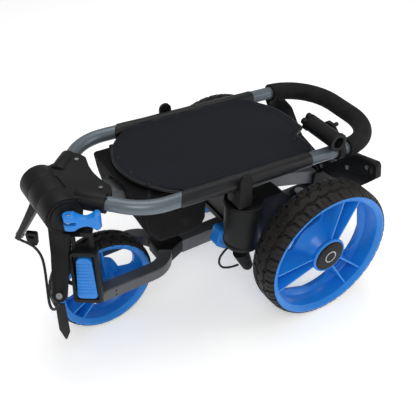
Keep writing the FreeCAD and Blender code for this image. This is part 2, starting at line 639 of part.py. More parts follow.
FORK_Z = size("fork_z")
CROWN_BACK = -60
arm_knuckle = rod("arm_knuckle", "Sizes.joint_r", "2 * Sizes.joint_r", "Sizes.joint_x",
                  "-Sizes.joint_r", "Sizes.joint_z", ALONG_Y)
arm_low = size("joint_z") - size("arm_tall") / 2
arm_bar = box("arm_bar", (CROWN_BACK + 0.1, "-Sizes.arm_w / 2", f"{arm_low}"),
              ("Sizes.joint_x", "Sizes.arm_w / 2", f"{arm_low} + Sizes.arm_tall"))
arm_hollow = box("arm_hollow", (CROWN_BACK - 1, "-Sizes.arm_w / 2 + 2", f"{arm_low} + 2"),
                 ("Sizes.joint_x - 24", "Sizes.arm_w / 2 - 2", f"{arm_low} + Sizes.arm_tall - 2"))
arm_bore = rod("arm_bore", "5.98 + Sizes.run_gap", "60", "Sizes.joint_x", -30, "Sizes.joint_z", ALONG_Y)
arm_blank = fuse("arm_blank", arm_knuckle, arm_bar)
node(cut("front_arm_cut", arm_blank, arm_hollow, arm_bore), "front_arm")

BEND = math.radians(60)
fork_start = Vector(-256, size("fork_y"), FORK_Z)
fork_bend = Vector(-150, size("fork_y"), FORK_Z)
bend_r = size("fork_bend_r")
fork_exit = fork_bend + Vector(bend_r * math.sin(BEND), -bend_r * (1 - math.cos(BEND)), 0)
fork_mid = fork_bend + Vector(bend_r * math.sin(BEND / 2), -bend_r * (1 - math.cos(BEND / 2)), 0)
fork_end = fork_exit + Vector(math.cos(BEND), -math.sin(BEND), 0) * 4.6


def mirrored(point, way):
    return Vector(point.x, way * point.y, point.z)


def rectangle(centre, wide, tall):
    """A rectangle across the cart with softened corners, square to +X."""
    edges = outline([(-wide / 2, -tall / 2), (wide / 2, -tall / 2), (wide / 2, tall / 2),
                     (-wide / 2, tall / 2)], min(wide, tall) * 0.12)
    wire = Part.Wire([e.toShape() for e in edges])
    wire.Placement = Placement(centre, Rotation(Vector(0, 1, 0), Vector(0, 0, 1), Vector(1, 0, 0), "XYZ"))
    return wire


for side, way in SIDES:
    points = [mirrored(p, way) for p in (fork_start, fork_bend, fork_mid, fork_exit, fork_end)]
    path = Part.Wire([
        Part.LineSegment(points[0], points[1]).toShape(),
        Part.Arc(points[1], points[2], points[3]).toShape(),
        Part.LineSegment(points[3], points[4]).toShape(),
    ])
    outer = sweep(f"fork_outer_{side}", path,
                  rectangle(points[0], size("fork_w"), size("fork_tall")))
    inner = sweep(f"fork_inner_{side}", path.copy(),
                  rectangle(points[0], size("fork_w") - 4, size("fork_tall") - 4))
    holes = [rod(f"fork_hole_{side}{n}", "1.8", "8", "Sizes.front_x",
                 f"{way} * (Sizes.fork_y + 13) - 4", f"{FORK_Z + 5 * n}", ALONG_Y) for n in (-1, 1)]
    leg_tube = cut(f"fork_tube_{side}", outer, inner, *holes)
    drop = plate(f"dropout_{side}", "XZ", [(-15, -15), (15, -15), (15, 26), (-15, 26)], 14, "4",
                 [(0, 0, AXLE_R + 0.02)])
    drop_edge = f"{way} * (Sizes.fork_y - Sizes.fork_w / 2 - 2)"
    place(drop, "Sizes.front_x", drop_edge, "Sizes.front_tyre_r")
    node(fuse(f"fork_leg_{side}_blank", leg_tube, drop), f"fork_leg_{side}")

leg_edge = Vector(math.sin(BEND), math.cos(BEND), 0) * (size("fork_w") / 2)
crown_half = [(CROWN_BACK, 18), (fork_end.x + leg_edge.x + 0.1, fork_end.y + leg_edge.y - 0.2),
              (fork_end.x - leg_edge.x + 0.1, fork_end.y - leg_edge.y - 0.2)]
crown_points = crown_half + [(a, -b) for a, b in reversed(crown_half)]
crown = plate("fork_crown_plate", "XY", crown_points, [4, 1, 1, 1, 1, 4], "Sizes.fork_tall + 6")
place(crown, 0, 0, FORK_Z - 3)
crown_tongue = box("crown_tongue", (CROWN_BACK - 10, "-Sizes.arm_w / 2 + 2.3", f"{arm_low} + 2.3"),
                   (CROWN_BACK + 60, "Sizes.arm_w / 2 - 2.3", f"{arm_low} + Sizes.arm_tall - 2.3"))
node(fuse("fork_crown_blank", crown, crown_tongue), "fork_crown")

nuts = []
for side, way in SIDES:
    nut = doc.addObject("Part::Prism", f"axle_nut_{side}")
    nut.Polygon = 6
    bind(nut, Circumradius="7.6", Height="8")
    place(nut, "Sizes.front_x", f"{way} * (Sizes.fork_y - 8.7) - 4", "Sizes.front_tyre_r", ALONG_Y)
    nuts.append(cut(f"axle_nut_{side}_cut", nut,
                    rod(f"axle_nut_bore_{side}", f"{AXLE_R + 0.02}", "120", "Sizes.front_x", -60,
                        "Sizes.front_tyre_r", ALONG_Y)))
node(group("axle_nuts_set", *nuts), "axle_nuts")
axle = rod("front_axle_shaft", f"{AXLE_R}", "106", "Sizes.front_x", -53, "Sizes.front_tyre_r", ALONG_Y)
spacers = [rod(f"front_spacer{way}", "9", "12.6", "Sizes.front_x", way * 31.5 - 6.3,
               "Sizes.front_tyre_r", ALONG_Y) for way in (-1, 1)]
node(fuse("front_axle_blank", axle, *spacers), "front_axle")

# ------------------------------------------------------------------ handle loop

LOOP = Placement(Vector(size("barrel_x"), 0, size("loop_z")), Rotation(Vector(0, 1, 0), size("loop_tilt")))
HALF = size("loop_half")
bend_r = size("bend_r")
corner_r = size("corner_r")
LOOP_END = size("loop_end")
STRAIGHT_A = 156
STRAIGHT_B = LOOP_END - corner_r
diag = math.sqrt(0.5)


def loop_arc(centre, radius, start_deg, stop_deg):
    """An arc in the loop's own plane."""
    def at(deg):
        return centre + Vector(math.cos(math.radians(deg)), math.sin(math.radians(deg)), 0) * radius
    return Part.Arc(at(start_deg), at((start_deg + stop_deg) / 2), at(stop_deg))


def loop_edges(start_s):
    """Edges of the loop's centre line from start_s on the near side, round the grip end."""
    b = STRAIGHT_B
    flat = HALF - corner_r
    return [
        Part.LineSegment(Vector(start_s, -HALF, 0), Vector(b, -HALF, 0)),
        loop_arc(Vector(b, -flat, 0), corner_r, -90, 0),
        Part.LineSegment(Vector(LOOP_END, -flat, 0), Vector(LOOP_END, flat, 0)),
        loop_arc(Vector(b, flat, 0), corner_r, 0, 90),
        Part.LineSegment(Vector(b, HALF, 0), Vector(start_s, HALF, 0)),
    ]


arc_near = loop_arc(Vector(STRAIGHT_A, -HALF + bend_r, 0), bend_r, 225, 270)
arc_far = loop_arc(Vector(STRAIGHT_A, HALF - bend_r, 0), bend_r, 90, 135)
near_in = arc_near.StartPoint
SOCKET_IN = 50
near_start = near_in - Vector(diag, -diag, 0) * ((near_in.x - SOCKET_IN) / diag)
far_start = Vector(near_start.x, -near_start.y, 0)
whole_loop = [Part.LineSegment(near_start, near_in), arc_near] + loop_edges(STRAIGHT_A)
whole_loop += [arc_far, Part.LineSegment(arc_far.EndPoint, far_start)]
loop_wire = Part.Wire([e.toShape() for e in whole_loop])
heading = Vector(diag, -diag, 0)
loop_outer = sweep("loop_outer", loop_wire, ring(size("tube_r"), near_start, heading))
loop_inner = sweep("loop_inner", loop_wire.copy(), ring(size("tube_r") - size("tube_wall"), near_start, heading))
loop_cut = cut("loop_tube_cut", loop_outer, loop_inner)
loop_cut.Placement = LOOP
node(loop_cut, "loop_tube")

grip_wire = Part.Wire([e.toShape() for e in loop_edges(size("grip_start"))])
grip_start = Vector(size("grip_start"), -HALF, 0)
grip_outer = sweep("grip_outer", grip_wire, ring(size("grip_r"), grip_start, Vector(1, 0, 0)))
grip_inner = sweep("grip_inner", grip_wire.copy(), ring(size("tube_r") + 0.1, grip_start, Vector(1, 0, 0)))
grip_cut = cut("foam_grip_cut", grip_outer, grip_inner)
grip_cut.Placement = LOOP
node(grip_cut, "foam_grip")

# yoke: one moulding with two tube sockets, a web between them and the barrel's two outer knuckles
yoke_half = [(4, 50), (38, 58), (64, 84), (82, 66), (88, 50), (81, 22), (79, 0)]
yoke_points = yoke_half + [(a, -b) for a, b in reversed(yoke_half[:-1])]
yoke_radii = [10, 12, 9, 9, 14, 30, 60, 30, 14, 9, 9, 12, 10]
yoke_web = body("yoke_web")
pad(yoke_web, "yoke_web_pad", "XY", outline(yoke_points, yoke_radii), "20", midplane=True)
yoke_web.Placement = LOOP.multiply(Placement(Vector(0, 0, 2.5), Rotation()))
sockets = []
socket_bores = []
for way in (-1, 1):
    turn = Rotation(Vector(0, 0, 1), Vector(diag, way * diag, 0))
    start = Vector(30, way * (-near_start.y - (SOCKET_IN - 30)), 0)
    outer = doc.addObject("Part::Cylinder", f"yoke_socket{way}")
    bind(outer, Radius="Sizes.tube_r + 4.8", Height="53")
    outer.Placement = LOOP.multiply(Placement(start, turn))
    sockets.append(outer)
    inner = doc.addObject("Part::Cylinder", f"yoke_socket_bore{way}")
    bind(inner, Radius="Sizes.tube_r + 0.02", Height="90")
    inner.Placement = LOOP.multiply(Placement(Vector(SOCKET_IN, way * -near_start.y, 0), turn))
    socket_bores.append(inner)
knuckles = rod("yoke_knuckles", "Sizes.barrel_r", "2 * Sizes.barrel_half", "Sizes.barrel_x",
               "-Sizes.barrel_half", "Sizes.barrel_z", ALONG_Y)
core_gap = rod("yoke_core_gap", "Sizes.barrel_r + 1.2", "2 * Sizes.core_half + 0.6", "Sizes.barrel_x",
               "-Sizes.core_half - 0.3", "Sizes.barrel_z", ALONG_Y)
beam_gap = beam_box("yoke_beam_gap", 28, 160, "Sizes.beam_w + 3", "Sizes.beam_tall + 2.4")
skewer_gap = rod("yoke_skewer_gap", "Sizes.skewer_r + 0.02", "140", "Sizes.barrel_x", -70,
                 "Sizes.barrel_z", ALONG_Y)
cap_gaps = [rod(f"yoke_cap_gap{way}", "31.2", "8", "Sizes.barrel_x", way * 60.05 - 4,
                "Sizes.barrel_z", ALONG_Y) for way in (-1, 1)]
yoke_blank = fuse("yoke_blank", yoke_web, *sockets, knuckles)
node(cut("yoke_cut", yoke_blank, core_gap, beam_gap, skewer_gap, *cap_gaps, *socket_bores), "yoke")

yoke_heads = []
for way in (-1, 1):
    screw = doc.addObject("Part::Cylinder", f"yoke_screw{way}")
    bind(screw, Radius="3.6", Height="2.2")
    screw.Placement = LOOP.multiply(Placement(Vector(70, way * 48, 12.6), Rotation()))
    socket_hex = doc.addObject("Part::Cylinder", f"yoke_screw_socket{way}")
    bind(socket_hex, Radius="1.7", Height="2")
    socket_hex.Placement = LOOP.multiply(Placement(Vector(70, way * 48, 13.8), Rotation()))
    yoke_heads.append(cut(f"yoke_screw_cut{way}", screw, socket_hex))
node(group("yoke_screws_set", *yoke_heads), "yoke_screws")

# barrel end caps with stepped rings, and the skewer that the cam lever tightens
for side, way in SIDES:
    cap = body(f"hinge_cap_{side}_body", f"hinge_cap_{side}")
    steps = [(7, 0.1), (31, 0.1), (31, 2.2), (28, 2.2), (28, 1.2), (25.5, 1.2), (25.5, 3.4),
             (14, 3.4), (14, 4.6), (7, 4.6)]
    revolve(cap, f"hinge_cap_{side}_turned", steps, 0.3)
    cap.Placement = Placement(Vector(), Rotation(Vector(1, 0, 0), -90 * way))
    bind(cap, Placement__Base__x="Sizes.barrel_x", Placement__Base__y=f"{way} * Sizes.barrel_half",
         Placement__Base__z="Sizes.barrel_z")
skewer_shaft = rod("skewer_shaft", "Sizes.skewer_r", "124", "Sizes.barrel_x", -62, "Sizes.barrel_z", ALONG_Y)
skewer_nut = rod("skewer_nut", "11", "5", "Sizes.barrel_x", 60.8, "Sizes.barrel_z", ALONG_Y)
CAM_Y = -72
cam_pin = rod("skewer_cam_pin", "3.2", "26", "Sizes.barrel_x", CAM_Y, "Sizes.barrel_z - 13")
skewer_eye = rod("skewer_eye", "6", "5", "Sizes.barrel_x", CAM_Y, "Sizes.barrel_z - 2.5")
skewer_neck = box("skewer_neck", ("Sizes.barrel_x - 5", f"{CAM_Y}", "Sizes.barrel_z - 2.5"),
                  ("Sizes.barrel_x + 5", "-60", "Sizes.barrel_z + 2.5"))
node(fuse("hinge_skewer_blank", skewer_shaft, skewer_nut, skewer_eye, skewer_neck, cam_pin), "hinge_skewer")

# cam lever: a fork over the skewer's eye and a paddle
CAM_YAW = -28
cam = plate("cam_lever_plate", "XY",
            [(-8.6, -8.6), (8, -9), (30, -5.5), (48, -10), (53, 2), (48, 10.5), (30, 5), (8, 8.8), (-8.6, 8.6)],
            [8, 6, 12, 5, 5, 5, 12, 6, 8], "28")
cam_slot = box("cam_slot", (-16, -14, -3), (12, 14, 3))
cam_bore = rod("cam_bore", "3.2 + Sizes.run_gap", "40", 0, 0, -20)
cam_waist = []
for way in (-1, 1):
    wedge = doc.addObject("Part::Cylinder", f"cam_waist{way}")
    bind(wedge, Radius="26", Height="40")
    wedge.Placement = Placement(Vector(26, -20, way * 33.5), ALONG_Y)
    cam_waist.append(wedge)
cam_cut = cut("cam_lever_cut", cam, cam_slot, cam_bore, *cam_waist)
cam_cut.Placement = Placement(Vector(size("barrel_x"), CAM_Y, size("barrel_z")),
                              Rotation(Vector(0, 0, 1), CAM_YAW))
node(cam_cut, "cam_lever")

# upper bag bracket: one spreading arm each side, bolted under the barrel
ARM_ROOT = Vector(-303, 41, 305)
ARM_TIP = Vector(-340, 92, 194)
bolts = []
for side, way in SIDES:
    run = Vector(ARM_TIP.x - ARM_ROOT.x, way * (ARM_TIP.y - ARM_ROOT.y), ARM_TIP.z - ARM_ROOT.z)
    facing = Vector(-0.6, way * 0.8, 0)
    across = run.cross(facing).normalize()
    normal = across.cross(run).normalize()
    sections = []
    for share, wide, thick in ((0, 42, 14), (0.45, 30, 12), (1, 24, 9)):
        centre = Vector(ARM_ROOT.x, way * ARM_ROOT.y, ARM_ROOT.z) + run * share
        corners = [centre + across * (a * wide / 2) + normal * (b * thick / 2)
                   for a, b in ((-1, -1), (1, -1), (1, 1), (-1, 1))]
        sections.append(Part.makePolygon(corners + corners[:1]))
    arm = Part.makeLoft(sections, True, True)
    tip_at = Vector(ARM_TIP.x, way * ARM_TIP.y, ARM_TIP.z)
    end = Part.makeCylinder(12, 9, tip_at - normal * 4.5, normal)
    barrel_space = Part.makeCylinder(size("barrel_r") + 0.1, 200, Vector(BARREL.x, -100, BARREL.z), Vector(0, 1, 0))
    bolt_space = Part.makeCylinder(3.02, 40, tip_at - normal * 20, normal)
    node(solid(f"bag_arm_{side}_solid", arm.fuse(end).cut(barrel_space).cut(bolt_space).removeSplitter()),
         f"bag_arm_{side}")
    shank = Part.makeCylinder(3, 15, tip_at - normal * 6.5, normal)
    head = Part.makeCylinder(5.5, 3, tip_at + normal * 4.8, normal)
    eye = Part.makeCylinder(4.5, 2.5, tip_at - normal * 7.3, normal)
    bolts.append(solid(f"arm_bolt_{side}", shank.fuse(head).fuse(eye).removeSplitter()))
node(group("arm_bolts_set", *bolts), "arm_bolts")

# bag strap catch: a housing hung from the barrel beside the near arm, with its ribbed lever
CATCH_YAW = -34
CATCH = Placement(Vector(-286, -81, 205), Rotation(Vector(0, 0, 1), CATCH_YAW))
shell = body("catch_shell")
pad(shell, "catch_shell_pad", "XZ",
    outline([(-26, -58), (25, -58), (23, 58), (-21, 58)], [7, 7, 9, 9]), "22", midplane=True)
shell.Placement = CATCH
catch_gap = doc.addObject("Part::Box", "catch_gap")
bind(catch_gap, Length="37", Width="16", Height="100")
catch_gap.Placement = CATCH.multiply(Placement(Vector(-18.5, -14, -50), Rotation()))
catch_rails = []
for n, a in enumerate((-15, 15)):
    rail = doc.addObject("Part::Box", f"catch_rail{n}")
    bind(rail, Length="6", Width="8", Height="40")
    rail.Placement = CATCH.multiply(Placement(Vector(a - 3, 0, 52), Rotation()))
    catch_rails.append(rail)
bridge = doc.addObject("Part::Box", "catch_bridge")
bind(bridge, Length="38", Width="26", Height="9")
bridge.Placement = CATCH.multiply(Placement(Vector(-21, 0, 84), Rotation()))
catch_hoop = doc.addObject("Part::Torus", "catch_hoop")
bind(catch_hoop, Radius1="36", Radius2="3.6")
catch_hoop.Placement = CATCH.multiply(Placement(Vector(-12, 2, 8), ALONG_Y))
hoop_keep = doc.addObject("Part::Box", "catch_hoop_keep")
bind(hoop_keep, Length="60", Width="20", Height="100")
hoop_keep.Placement = CATCH.multiply(Placement(Vector(-78, -8, -42), Rotation()))
hoop = doc.addObject("Part::Common", "catch_hoop_half")
hoop.Base = catch_hoop
hoop.Tool = hoop_keep
barrel_room = rod("catch_barrel_room", "Sizes.barrel_r + 0.1", "160", "Sizes.barrel_x", -80,
                  "Sizes.barrel_z", ALONG_Y)
lever_pin_gap = doc.addObject("Part::Cylinder", "catch_pin_gap")
bind(lever_pin_gap, Radius="2.6 + Sizes.run_gap", Height="44")
lever_pin_gap.Placement = CATCH.multiply(Placement(Vector(-22, -5, -42), ALONG_X))
catch_blank = fuse("catch_blank", shell, hoop, *catch_rails, bridge)
arm_room = doc.getObject("bag_arm_near_solid")
node(cut("catch_housing_cut", catch_blank, catch_gap, barrel_room, lever_pin_gap, arm_room), "catch_housing")

lever = body("catch_lever_pad")
pad(lever, "catch_lever_outline", "XZ",
    outline([(-17.5, -45.5), (17.5, -45.5), (14, 47), (-11, 47)], [7, 7, 11, 11]), "12", midplane=True)
lever.Placement = CATCH.multiply(Placement(Vector(0, -6.5, 0), Rotation()))
lever_pin = doc.addObject("Part::Cylinder", "catch_lever_pin")
bind(lever_pin, Radius="2.6", Height="42")
lever_pin.Placement = CATCH.multiply(Placement(Vector(-21, -5, -42), ALONG_X))
grooves = []
for n in range(10):
    groove = doc.addObject("Part::Cylinder", f"lever_groove{n}")
    bind(groove, Radius="1.6", Height="60")
    groove.Placement = CATCH.multiply(Placement(Vector(-30, -13.2, -32 + 7.4 * n), ALONG_X))
    grooves.append(groove)
lever_blank = fuse("catch_lever_blank", lever, lever_pin)
node(cut("catch_lever_cut", lever_blank, *grooves), "catch_lever")

# ------------------------------------------------------------------ brake pedal

pedal_pad = body("pedal_pad")
pad(pedal_pad, "pedal_outline", "XZ", outline([(-28, 2), (-17, 38), (8, 28), (5, -8), (-6, -16)], [7, 8, 6, 7, 6]),
    "24", midplane=True)
place(pedal_pad, PEDAL.x, PEDAL.y, PEDAL.z)
pedal_pin = rod("pedal_trunnions", "3", "32", PEDAL.x, PEDAL.y - 16, PEDAL.z, ALONG_Y)
node(fuse("brake_pedal_blank", pedal_pad, pedal_pin), "brake_pedal")

# ------------------------------------------------------------------ fabric panel and net pocket

# the near corner at the grip end is cut back to let the umbrella holder tilt
panel_points = [(128, 0), (134, 40), (158, 108), (470, 108), (489, 76), (506, 36), (512, 0), (509, -30),
                (482, -45), (478, -92), (468, -108), (158, -108), (134, -40)]
panel_radii = [60, 30, 20, 12, 30, 30, 40, 14, 12, 10, 8, 20, 30]
slab = body("panel_slab")
pad(slab, "panel_slab_pad", "XY", outline(panel_points, panel_radii), "7", midplane=True)
slab.Placement = LOOP.multiply(Placement(Vector(0, 0, 2), Rotation()))
sleeves = []
tube_rooms = []
for way, start, stop in ((-1, 178, 452), (1, 178, 492)):
    turn = Rotation(Vector(0, 1, 0), 90)
    outer = doc.addObject("Part::Cylinder", f"panel_sleeve{way}")
    bind(outer, Radius="Sizes.tube_r + 1.5", Height=f"{stop - start}")
    outer.Placement = LOOP.multiply(Placement(Vector(start, way * HALF, 0), turn))
    sleeves.append(outer)
    inner = doc.addObject("Part::Cylinder", f"panel_room{way}")
    bind(inner, Radius="Sizes.tube_r + 0.1", Height="500")
    inner.Placement = LOOP.multiply(Placement(Vector(100, way * HALF, 0), turn))
    tube_rooms.append(inner)
node(cut("fabric_panel_cut", fuse("panel_blank", slab, *sleeves), *tube_rooms), "fabric_panel")

pouch = body("pouch_body")
pad(pouch, "pouch_pad", "XZ",
    outline([(-184, 323), (-172, 252), (-148, 218), (-66, 214), (-50, 236), (-50, 313.5)], [4, 30, 20, 16, 16, 4]),
    "186", midplane=True)
beam_channel = beam_box("pouch_beam_room", 60, 330, "Sizes.beam_w + 10", "170", -66)
node(cut("mesh_pouch_cut", pouch, beam_channel), "mesh_pouch")

# ------------------------------------------------------------------ umbrella holder

SOCKET = Vector(size("socket_x"), -size("socket_y"), size("socket_z"))
holder_z = size("loop_z") - (SOCKET.x - size("barrel_x")) * math.tan(math.radians(size("loop_tilt")))
clamp_ring = doc.addObject("Part::Cylinder", "holder_ring")
bind(clamp_ring, Radius="Sizes.tube_r + 4.5", Height="15")
ring_turn = Rotation(Vector(0, 1, 0), 90)
clamp_ring.Placement = LOOP.multiply(Placement(Vector(SOCKET.x - size("barrel_x") + 10.5, -HALF, 0), ring_turn))
clamp_room = doc.addObject("Part::Cylinder", "holder_room")
bind(clamp_room, Radius="Sizes.tube_r + 0.05", Height="80")
clamp_room.Placement = LOOP.multiply(Placement(Vector(SOCKET.x - size("barrel_x") - 30, -HALF, 0), ring_turn))
cheek = body("holder_cheek")
pad(cheek, "holder_cheek_pad", "YZ",
    outline([(-132, 296), (-112, 292), (-76, 322), (-78, 344), (-98, 344), (-132, 316)], [6, 10, 8, 9, 9, 10]),
    "7", midplane=True)
place(cheek, SOCKET.x + 20.5, 0, 0)
holder_bore = rod("holder_bore", "4 + Sizes.run_gap", "60", SOCKET.x, SOCKET.y, SOCKET.z, ALONG_X)
node(cut("holder_clamp_cut", fuse("holder_blank", clamp_ring, cheek), clamp_room, holder_bore), "holder_clamp")

SOCKET_OUT = 52
SOCKET_IN_LEN = 28
tube = rod("socket_tube", "Sizes.socket_r", f"{SOCKET_OUT + SOCKET_IN_LEN}", SOCKET.x,
           SOCKET.y - SOCKET_OUT, SOCKET.z, ALONG_Y)
lip = rod("socket_lip", "Sizes.socket_r + 2", "5", SOCKET.x, SOCKET.y - SOCKET_OUT, SOCKET.z, ALONG_Y)
stub = rod("socket_stub", "4", "30", SOCKET.x + 10, SOCKET.y, SOCKET.z, ALONG_X)
hollow = rod("socket_hollow", "Sizes.socket_bore", f"{SOCKET_OUT + 14}", SOCKET.x, SOCKET.y - SOCKET_OUT - 1,
             SOCKET.z, ALONG_Y)
thread = rod("socket_thread", "5 + Sizes.run_gap", "60", SOCKET.x, SOCKET.y, SOCKET.z, ALONG_Y)
node(cut("umbrella_socket_cut", fuse("socket_blank", tube, lip, stub), hollow, thread), "umbrella_socket")

KNOB_Y = SOCKET.y + SOCKET_IN_LEN
lobes = [rod(f"knob_lobe{n}", "6.5", "11", 0, 0, 0) for n in range(5)]
for n, lobe in enumerate(lobes):
    turn = math.radians(72 * n + 18)
    place(lobe, SOCKET.x + 11 * math.cos(turn), KNOB_Y + 0.4, SOCKET.z + 11 * math.sin(turn), ALONG_Y)
knob_disc = rod("knob_disc", "12", "11", SOCKET.x, KNOB_Y + 0.4, SOCKET.z, ALONG_Y)
knob_stem = rod("knob_stem", "5", "12", SOCKET.x, KNOB_Y - 10, SOCKET.z, ALONG_Y)
node(fuse("holder_knob_blank", knob_disc, knob_stem, *lobes), "holder_knob")

# ------------------------------------------------------------------ cords

ARC_SHARE = 0.45


def cord_path(route, name):
    """Straight runs joined by tangent arcs, each as large as its two runs allow."""
    pts = [Vector(*p) for p in route]
    edges = []
    at = pts[0]
    radii = []
    for before, here, after in zip(pts, pts[1:], pts[2:]):
        back = (before - here)
        on = (after - here)
        reach = ARC_SHARE * min(back.Length, on.Length)
        turn = math.pi - back.getAngle(on)
        radius = reach / math.tan(turn / 2)
        radii.append(round(radius, 1))
        start = here + back.normalize() * reach
        end = here + on.normalize() * reach
        middle = (back + on).normalize()
        mid = here + middle * (radius / math.cos(turn / 2) - radius)
        edges.append(Part.LineSegment(at, start).toShape())
        edges.append(Part.Arc(start, mid, end).toShape())
        at = end
    edges.append(Part.LineSegment(at, pts[-1]).toShape())
    print(name, "radii", radii)
    return Part.Wire(edges)


def cord(label, route, radius):
    """A cord's tube, with its volume compared with section times length."""
    wire = cord_path(route, label)
    heading = (Vector(*route[1]) - Vector(*route[0])).normalize()
    obj = sweep(label + "_sweep", wire, ring(radius, Vector(*route[0]), heading))
    doc.recompute()
    ideal = math.pi * radius ** 2 * wire.Length
    print(label, "length", round(wire.Length, 1), "volume ratio", round(obj.Shape.Volume / ideal, 4))
    return node(obj, label)


BUNGEE = [(-344, 84, 188), (-336, 66, 190), (-328, 52, 186), (-324, 36, 176), (-328, 16, 166),
          (-336, -8, 157), (-344, -32, 149), (-351, -54, 145), (-353, -74, 149), (-349, -88, 163),
          (-345, -92, 178)]
cord("bungee_cord", BUNGEE, size("cord_r"))

hook = body("bungee_hook_body")
pad(hook, "hook_pad", "XZ", outline([(-9, -14), (9, -14), (11, 14), (-11, 14)], 4), "9", midplane=True)
pocket(hook, "hook_eye", "XZ", outline([(-5, 2), (5, 2), (6, 9), (-6, 9)], 2))
HOOK = Placement(Vector(-328, 60, 203), Rotation(Vector(0, 0, 1), -40))
hook.Placement = HOOK
node(hook, "bungee_hook")

CABLE = [(14, -85, 139), (3, -85, 134), (-10, -88, 130), (-22, -92, 124), (-27, -97, 114), (-22, -101, 105),
         (-10, -103, 100), (2, -104, 98), (13, -105, 98)]
cord("brake_cable", CABLE, size("cable_r"))

strap = body("strap_tail_body", "strap_tail")
pad(strap, "strap_outline", "XZ", outline([(-8, 0), (8, 0), (9, -70), (0, -92), (-9, -62)], [1, 1, 3, 2, 3]),
    "2.4", midplane=True)
strap.Placement = Placement(Vector(-343.4, -93, 176), Rotation(Vector(0, 0, 1), -25))

# ------------------------------------------------------------------ checks and files

doc.recompute()
for obj in doc.Objects:
    if "Invalid" in obj.State or "Error" in obj.State:
        raise RuntimeError(f"{obj.Name} failed: {obj.State}")
os.makedirs("parts", exist_ok=True)
for obj in NODES:
    shape = obj.Shape
    if shape.isNull() or not shape.isValid():
        raise RuntimeError(f"{obj.Label} has no valid shape")
    shape.exportStep(f"parts/{obj.Label}.step")
print(len(NODES), "sub-parts written")
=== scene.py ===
"""Looks of the folded three-wheel golf push cart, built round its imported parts."""

import json
import math

import bmesh
import bpy
import numpy as np
from mathutils import Matrix, Vector


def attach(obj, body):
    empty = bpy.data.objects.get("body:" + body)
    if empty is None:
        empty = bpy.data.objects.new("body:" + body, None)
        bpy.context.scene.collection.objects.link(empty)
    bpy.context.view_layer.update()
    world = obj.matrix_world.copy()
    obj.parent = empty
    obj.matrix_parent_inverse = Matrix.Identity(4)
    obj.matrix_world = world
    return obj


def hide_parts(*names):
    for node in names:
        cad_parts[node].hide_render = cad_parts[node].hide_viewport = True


bl_info = {
    "name": "Folded golf push cart",
    "version": (1, 0, 0),
    "blender": (4, 5, 0),
    "location": "3D View > Sidebar > Push cart",
    "description": "Builds the visible pieces of a folded three-wheel golf push cart",
    "category": "Object",
}

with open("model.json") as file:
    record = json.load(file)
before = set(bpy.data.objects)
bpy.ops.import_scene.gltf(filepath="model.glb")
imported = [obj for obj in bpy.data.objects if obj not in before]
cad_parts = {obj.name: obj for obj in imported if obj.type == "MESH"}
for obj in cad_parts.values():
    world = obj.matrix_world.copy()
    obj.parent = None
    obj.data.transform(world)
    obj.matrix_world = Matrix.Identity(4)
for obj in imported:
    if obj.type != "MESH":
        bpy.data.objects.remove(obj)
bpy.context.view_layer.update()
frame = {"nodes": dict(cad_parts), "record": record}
NODES = frame["nodes"]
RECORD = frame["record"]
SLOT_OF = {entry["node"]: entry["material_slot"] for entry in RECORD["subparts"]}
BODY_OF = {node: body for body, members in RECORD["behaviour"]["bodies"].items() for node in members}

BARREL_X = -0.300
LOOP_Z = 0.3374
LOOP_TILT = math.radians(4.004)
LOOP_HALF = 0.122
TUBE_R = 0.0127
REAR_AXLE = (0.146, 0.140)
FRONT_AXLE = (-0.230, 0.1005)
WHEEL_Y = 0.1845
# tread radius, seat radius and width of a tyre
REAR_TYRE = (0.140, 0.131, 0.065)
FRONT_TYRE = (0.1005, 0.093, 0.050)
HUB_HALF = 0.025
# place in x and y of the pin that a rear leg swings on
LEG_HINGE = (0.016, 0.110)
# half widths of the panel: over the tubes, and between them
PANEL_HALF = 0.1145
PANEL_FREE_HALF = 0.108


# ---------------------------------------------------------------- mesh helpers


def link(obj):
    """Put a new object into the scene."""
    bpy.context.scene.collection.objects.link(obj)
    return obj


def mesh_of(name, verts, faces, smooth=True):
    """A closed mesh from arrays; it is turned outwards when its signed volume is negative."""
    verts = np.asarray(verts, float).reshape(-1, 3)
    mesh = bpy.data.meshes.new(name)
    mesh.from_pydata(verts.tolist(), [], faces)
    mesh.validate()
    mesh.update()
    shaped = bmesh.new()
    shaped.from_mesh(mesh)
    if shaped.calc_volume(signed=True) < 0:
        bmesh.ops.reverse_faces(shaped, faces=shaped.faces)
    shaped.to_mesh(mesh)
    shaped.free()
    if smooth:
        mesh.shade_smooth()
    return link(bpy.data.objects.new(name, mesh))


def ring_faces(rows, columns, wrap_rows=False, caps=False):
    """Quads between rows of closed rings: ring point (i, j) is number i * columns + j."""
    i = np.arange(rows if wrap_rows else rows - 1)[:, None]
    j = np.arange(columns)[None, :]
    here = i * columns
    there = ((i + 1) % rows) * columns
    nxt = (j + 1) % columns
    quads = np.stack(np.broadcast_arrays(here + j, here + nxt, there + nxt, there + j), axis=-1)
    faces = quads.reshape(-1, 4).tolist()
    if caps:
        faces.append(list(range(columns))[::-1])
        faces.append(list(range((rows - 1) * columns, rows * columns)))
    return faces


def loft(name, rings, wrap=False):
    """A skin over an array of closed rings (rows, columns, 3), capped unless it wraps."""
    rows, columns, _ = rings.shape
    return mesh_of(name, rings, ring_faces(rows, columns, wrap, not wrap))


def crisp(mesh, degrees=32):
    """Smooth shading with the corners over an angle kept sharp."""
    mesh.shade_smooth()
    mesh.set_sharp_from_angle(angle=math.radians(degrees))


def settle(piece, body, node_names=()):
    """Fasten a finished piece to its body, and hide the CAD nodes that it stands for."""
    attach(piece, body)
    if node_names:
        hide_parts(*node_names)
    return piece


def baked(obj):
    """Apply an object's modifiers to a mesh of its own."""
    graph = bpy.context.evaluated_depsgraph_get()
    mesh = bpy.data.meshes.new_from_object(obj.evaluated_get(graph))
    obj.modifiers.clear()
    obj.data = mesh
    return obj


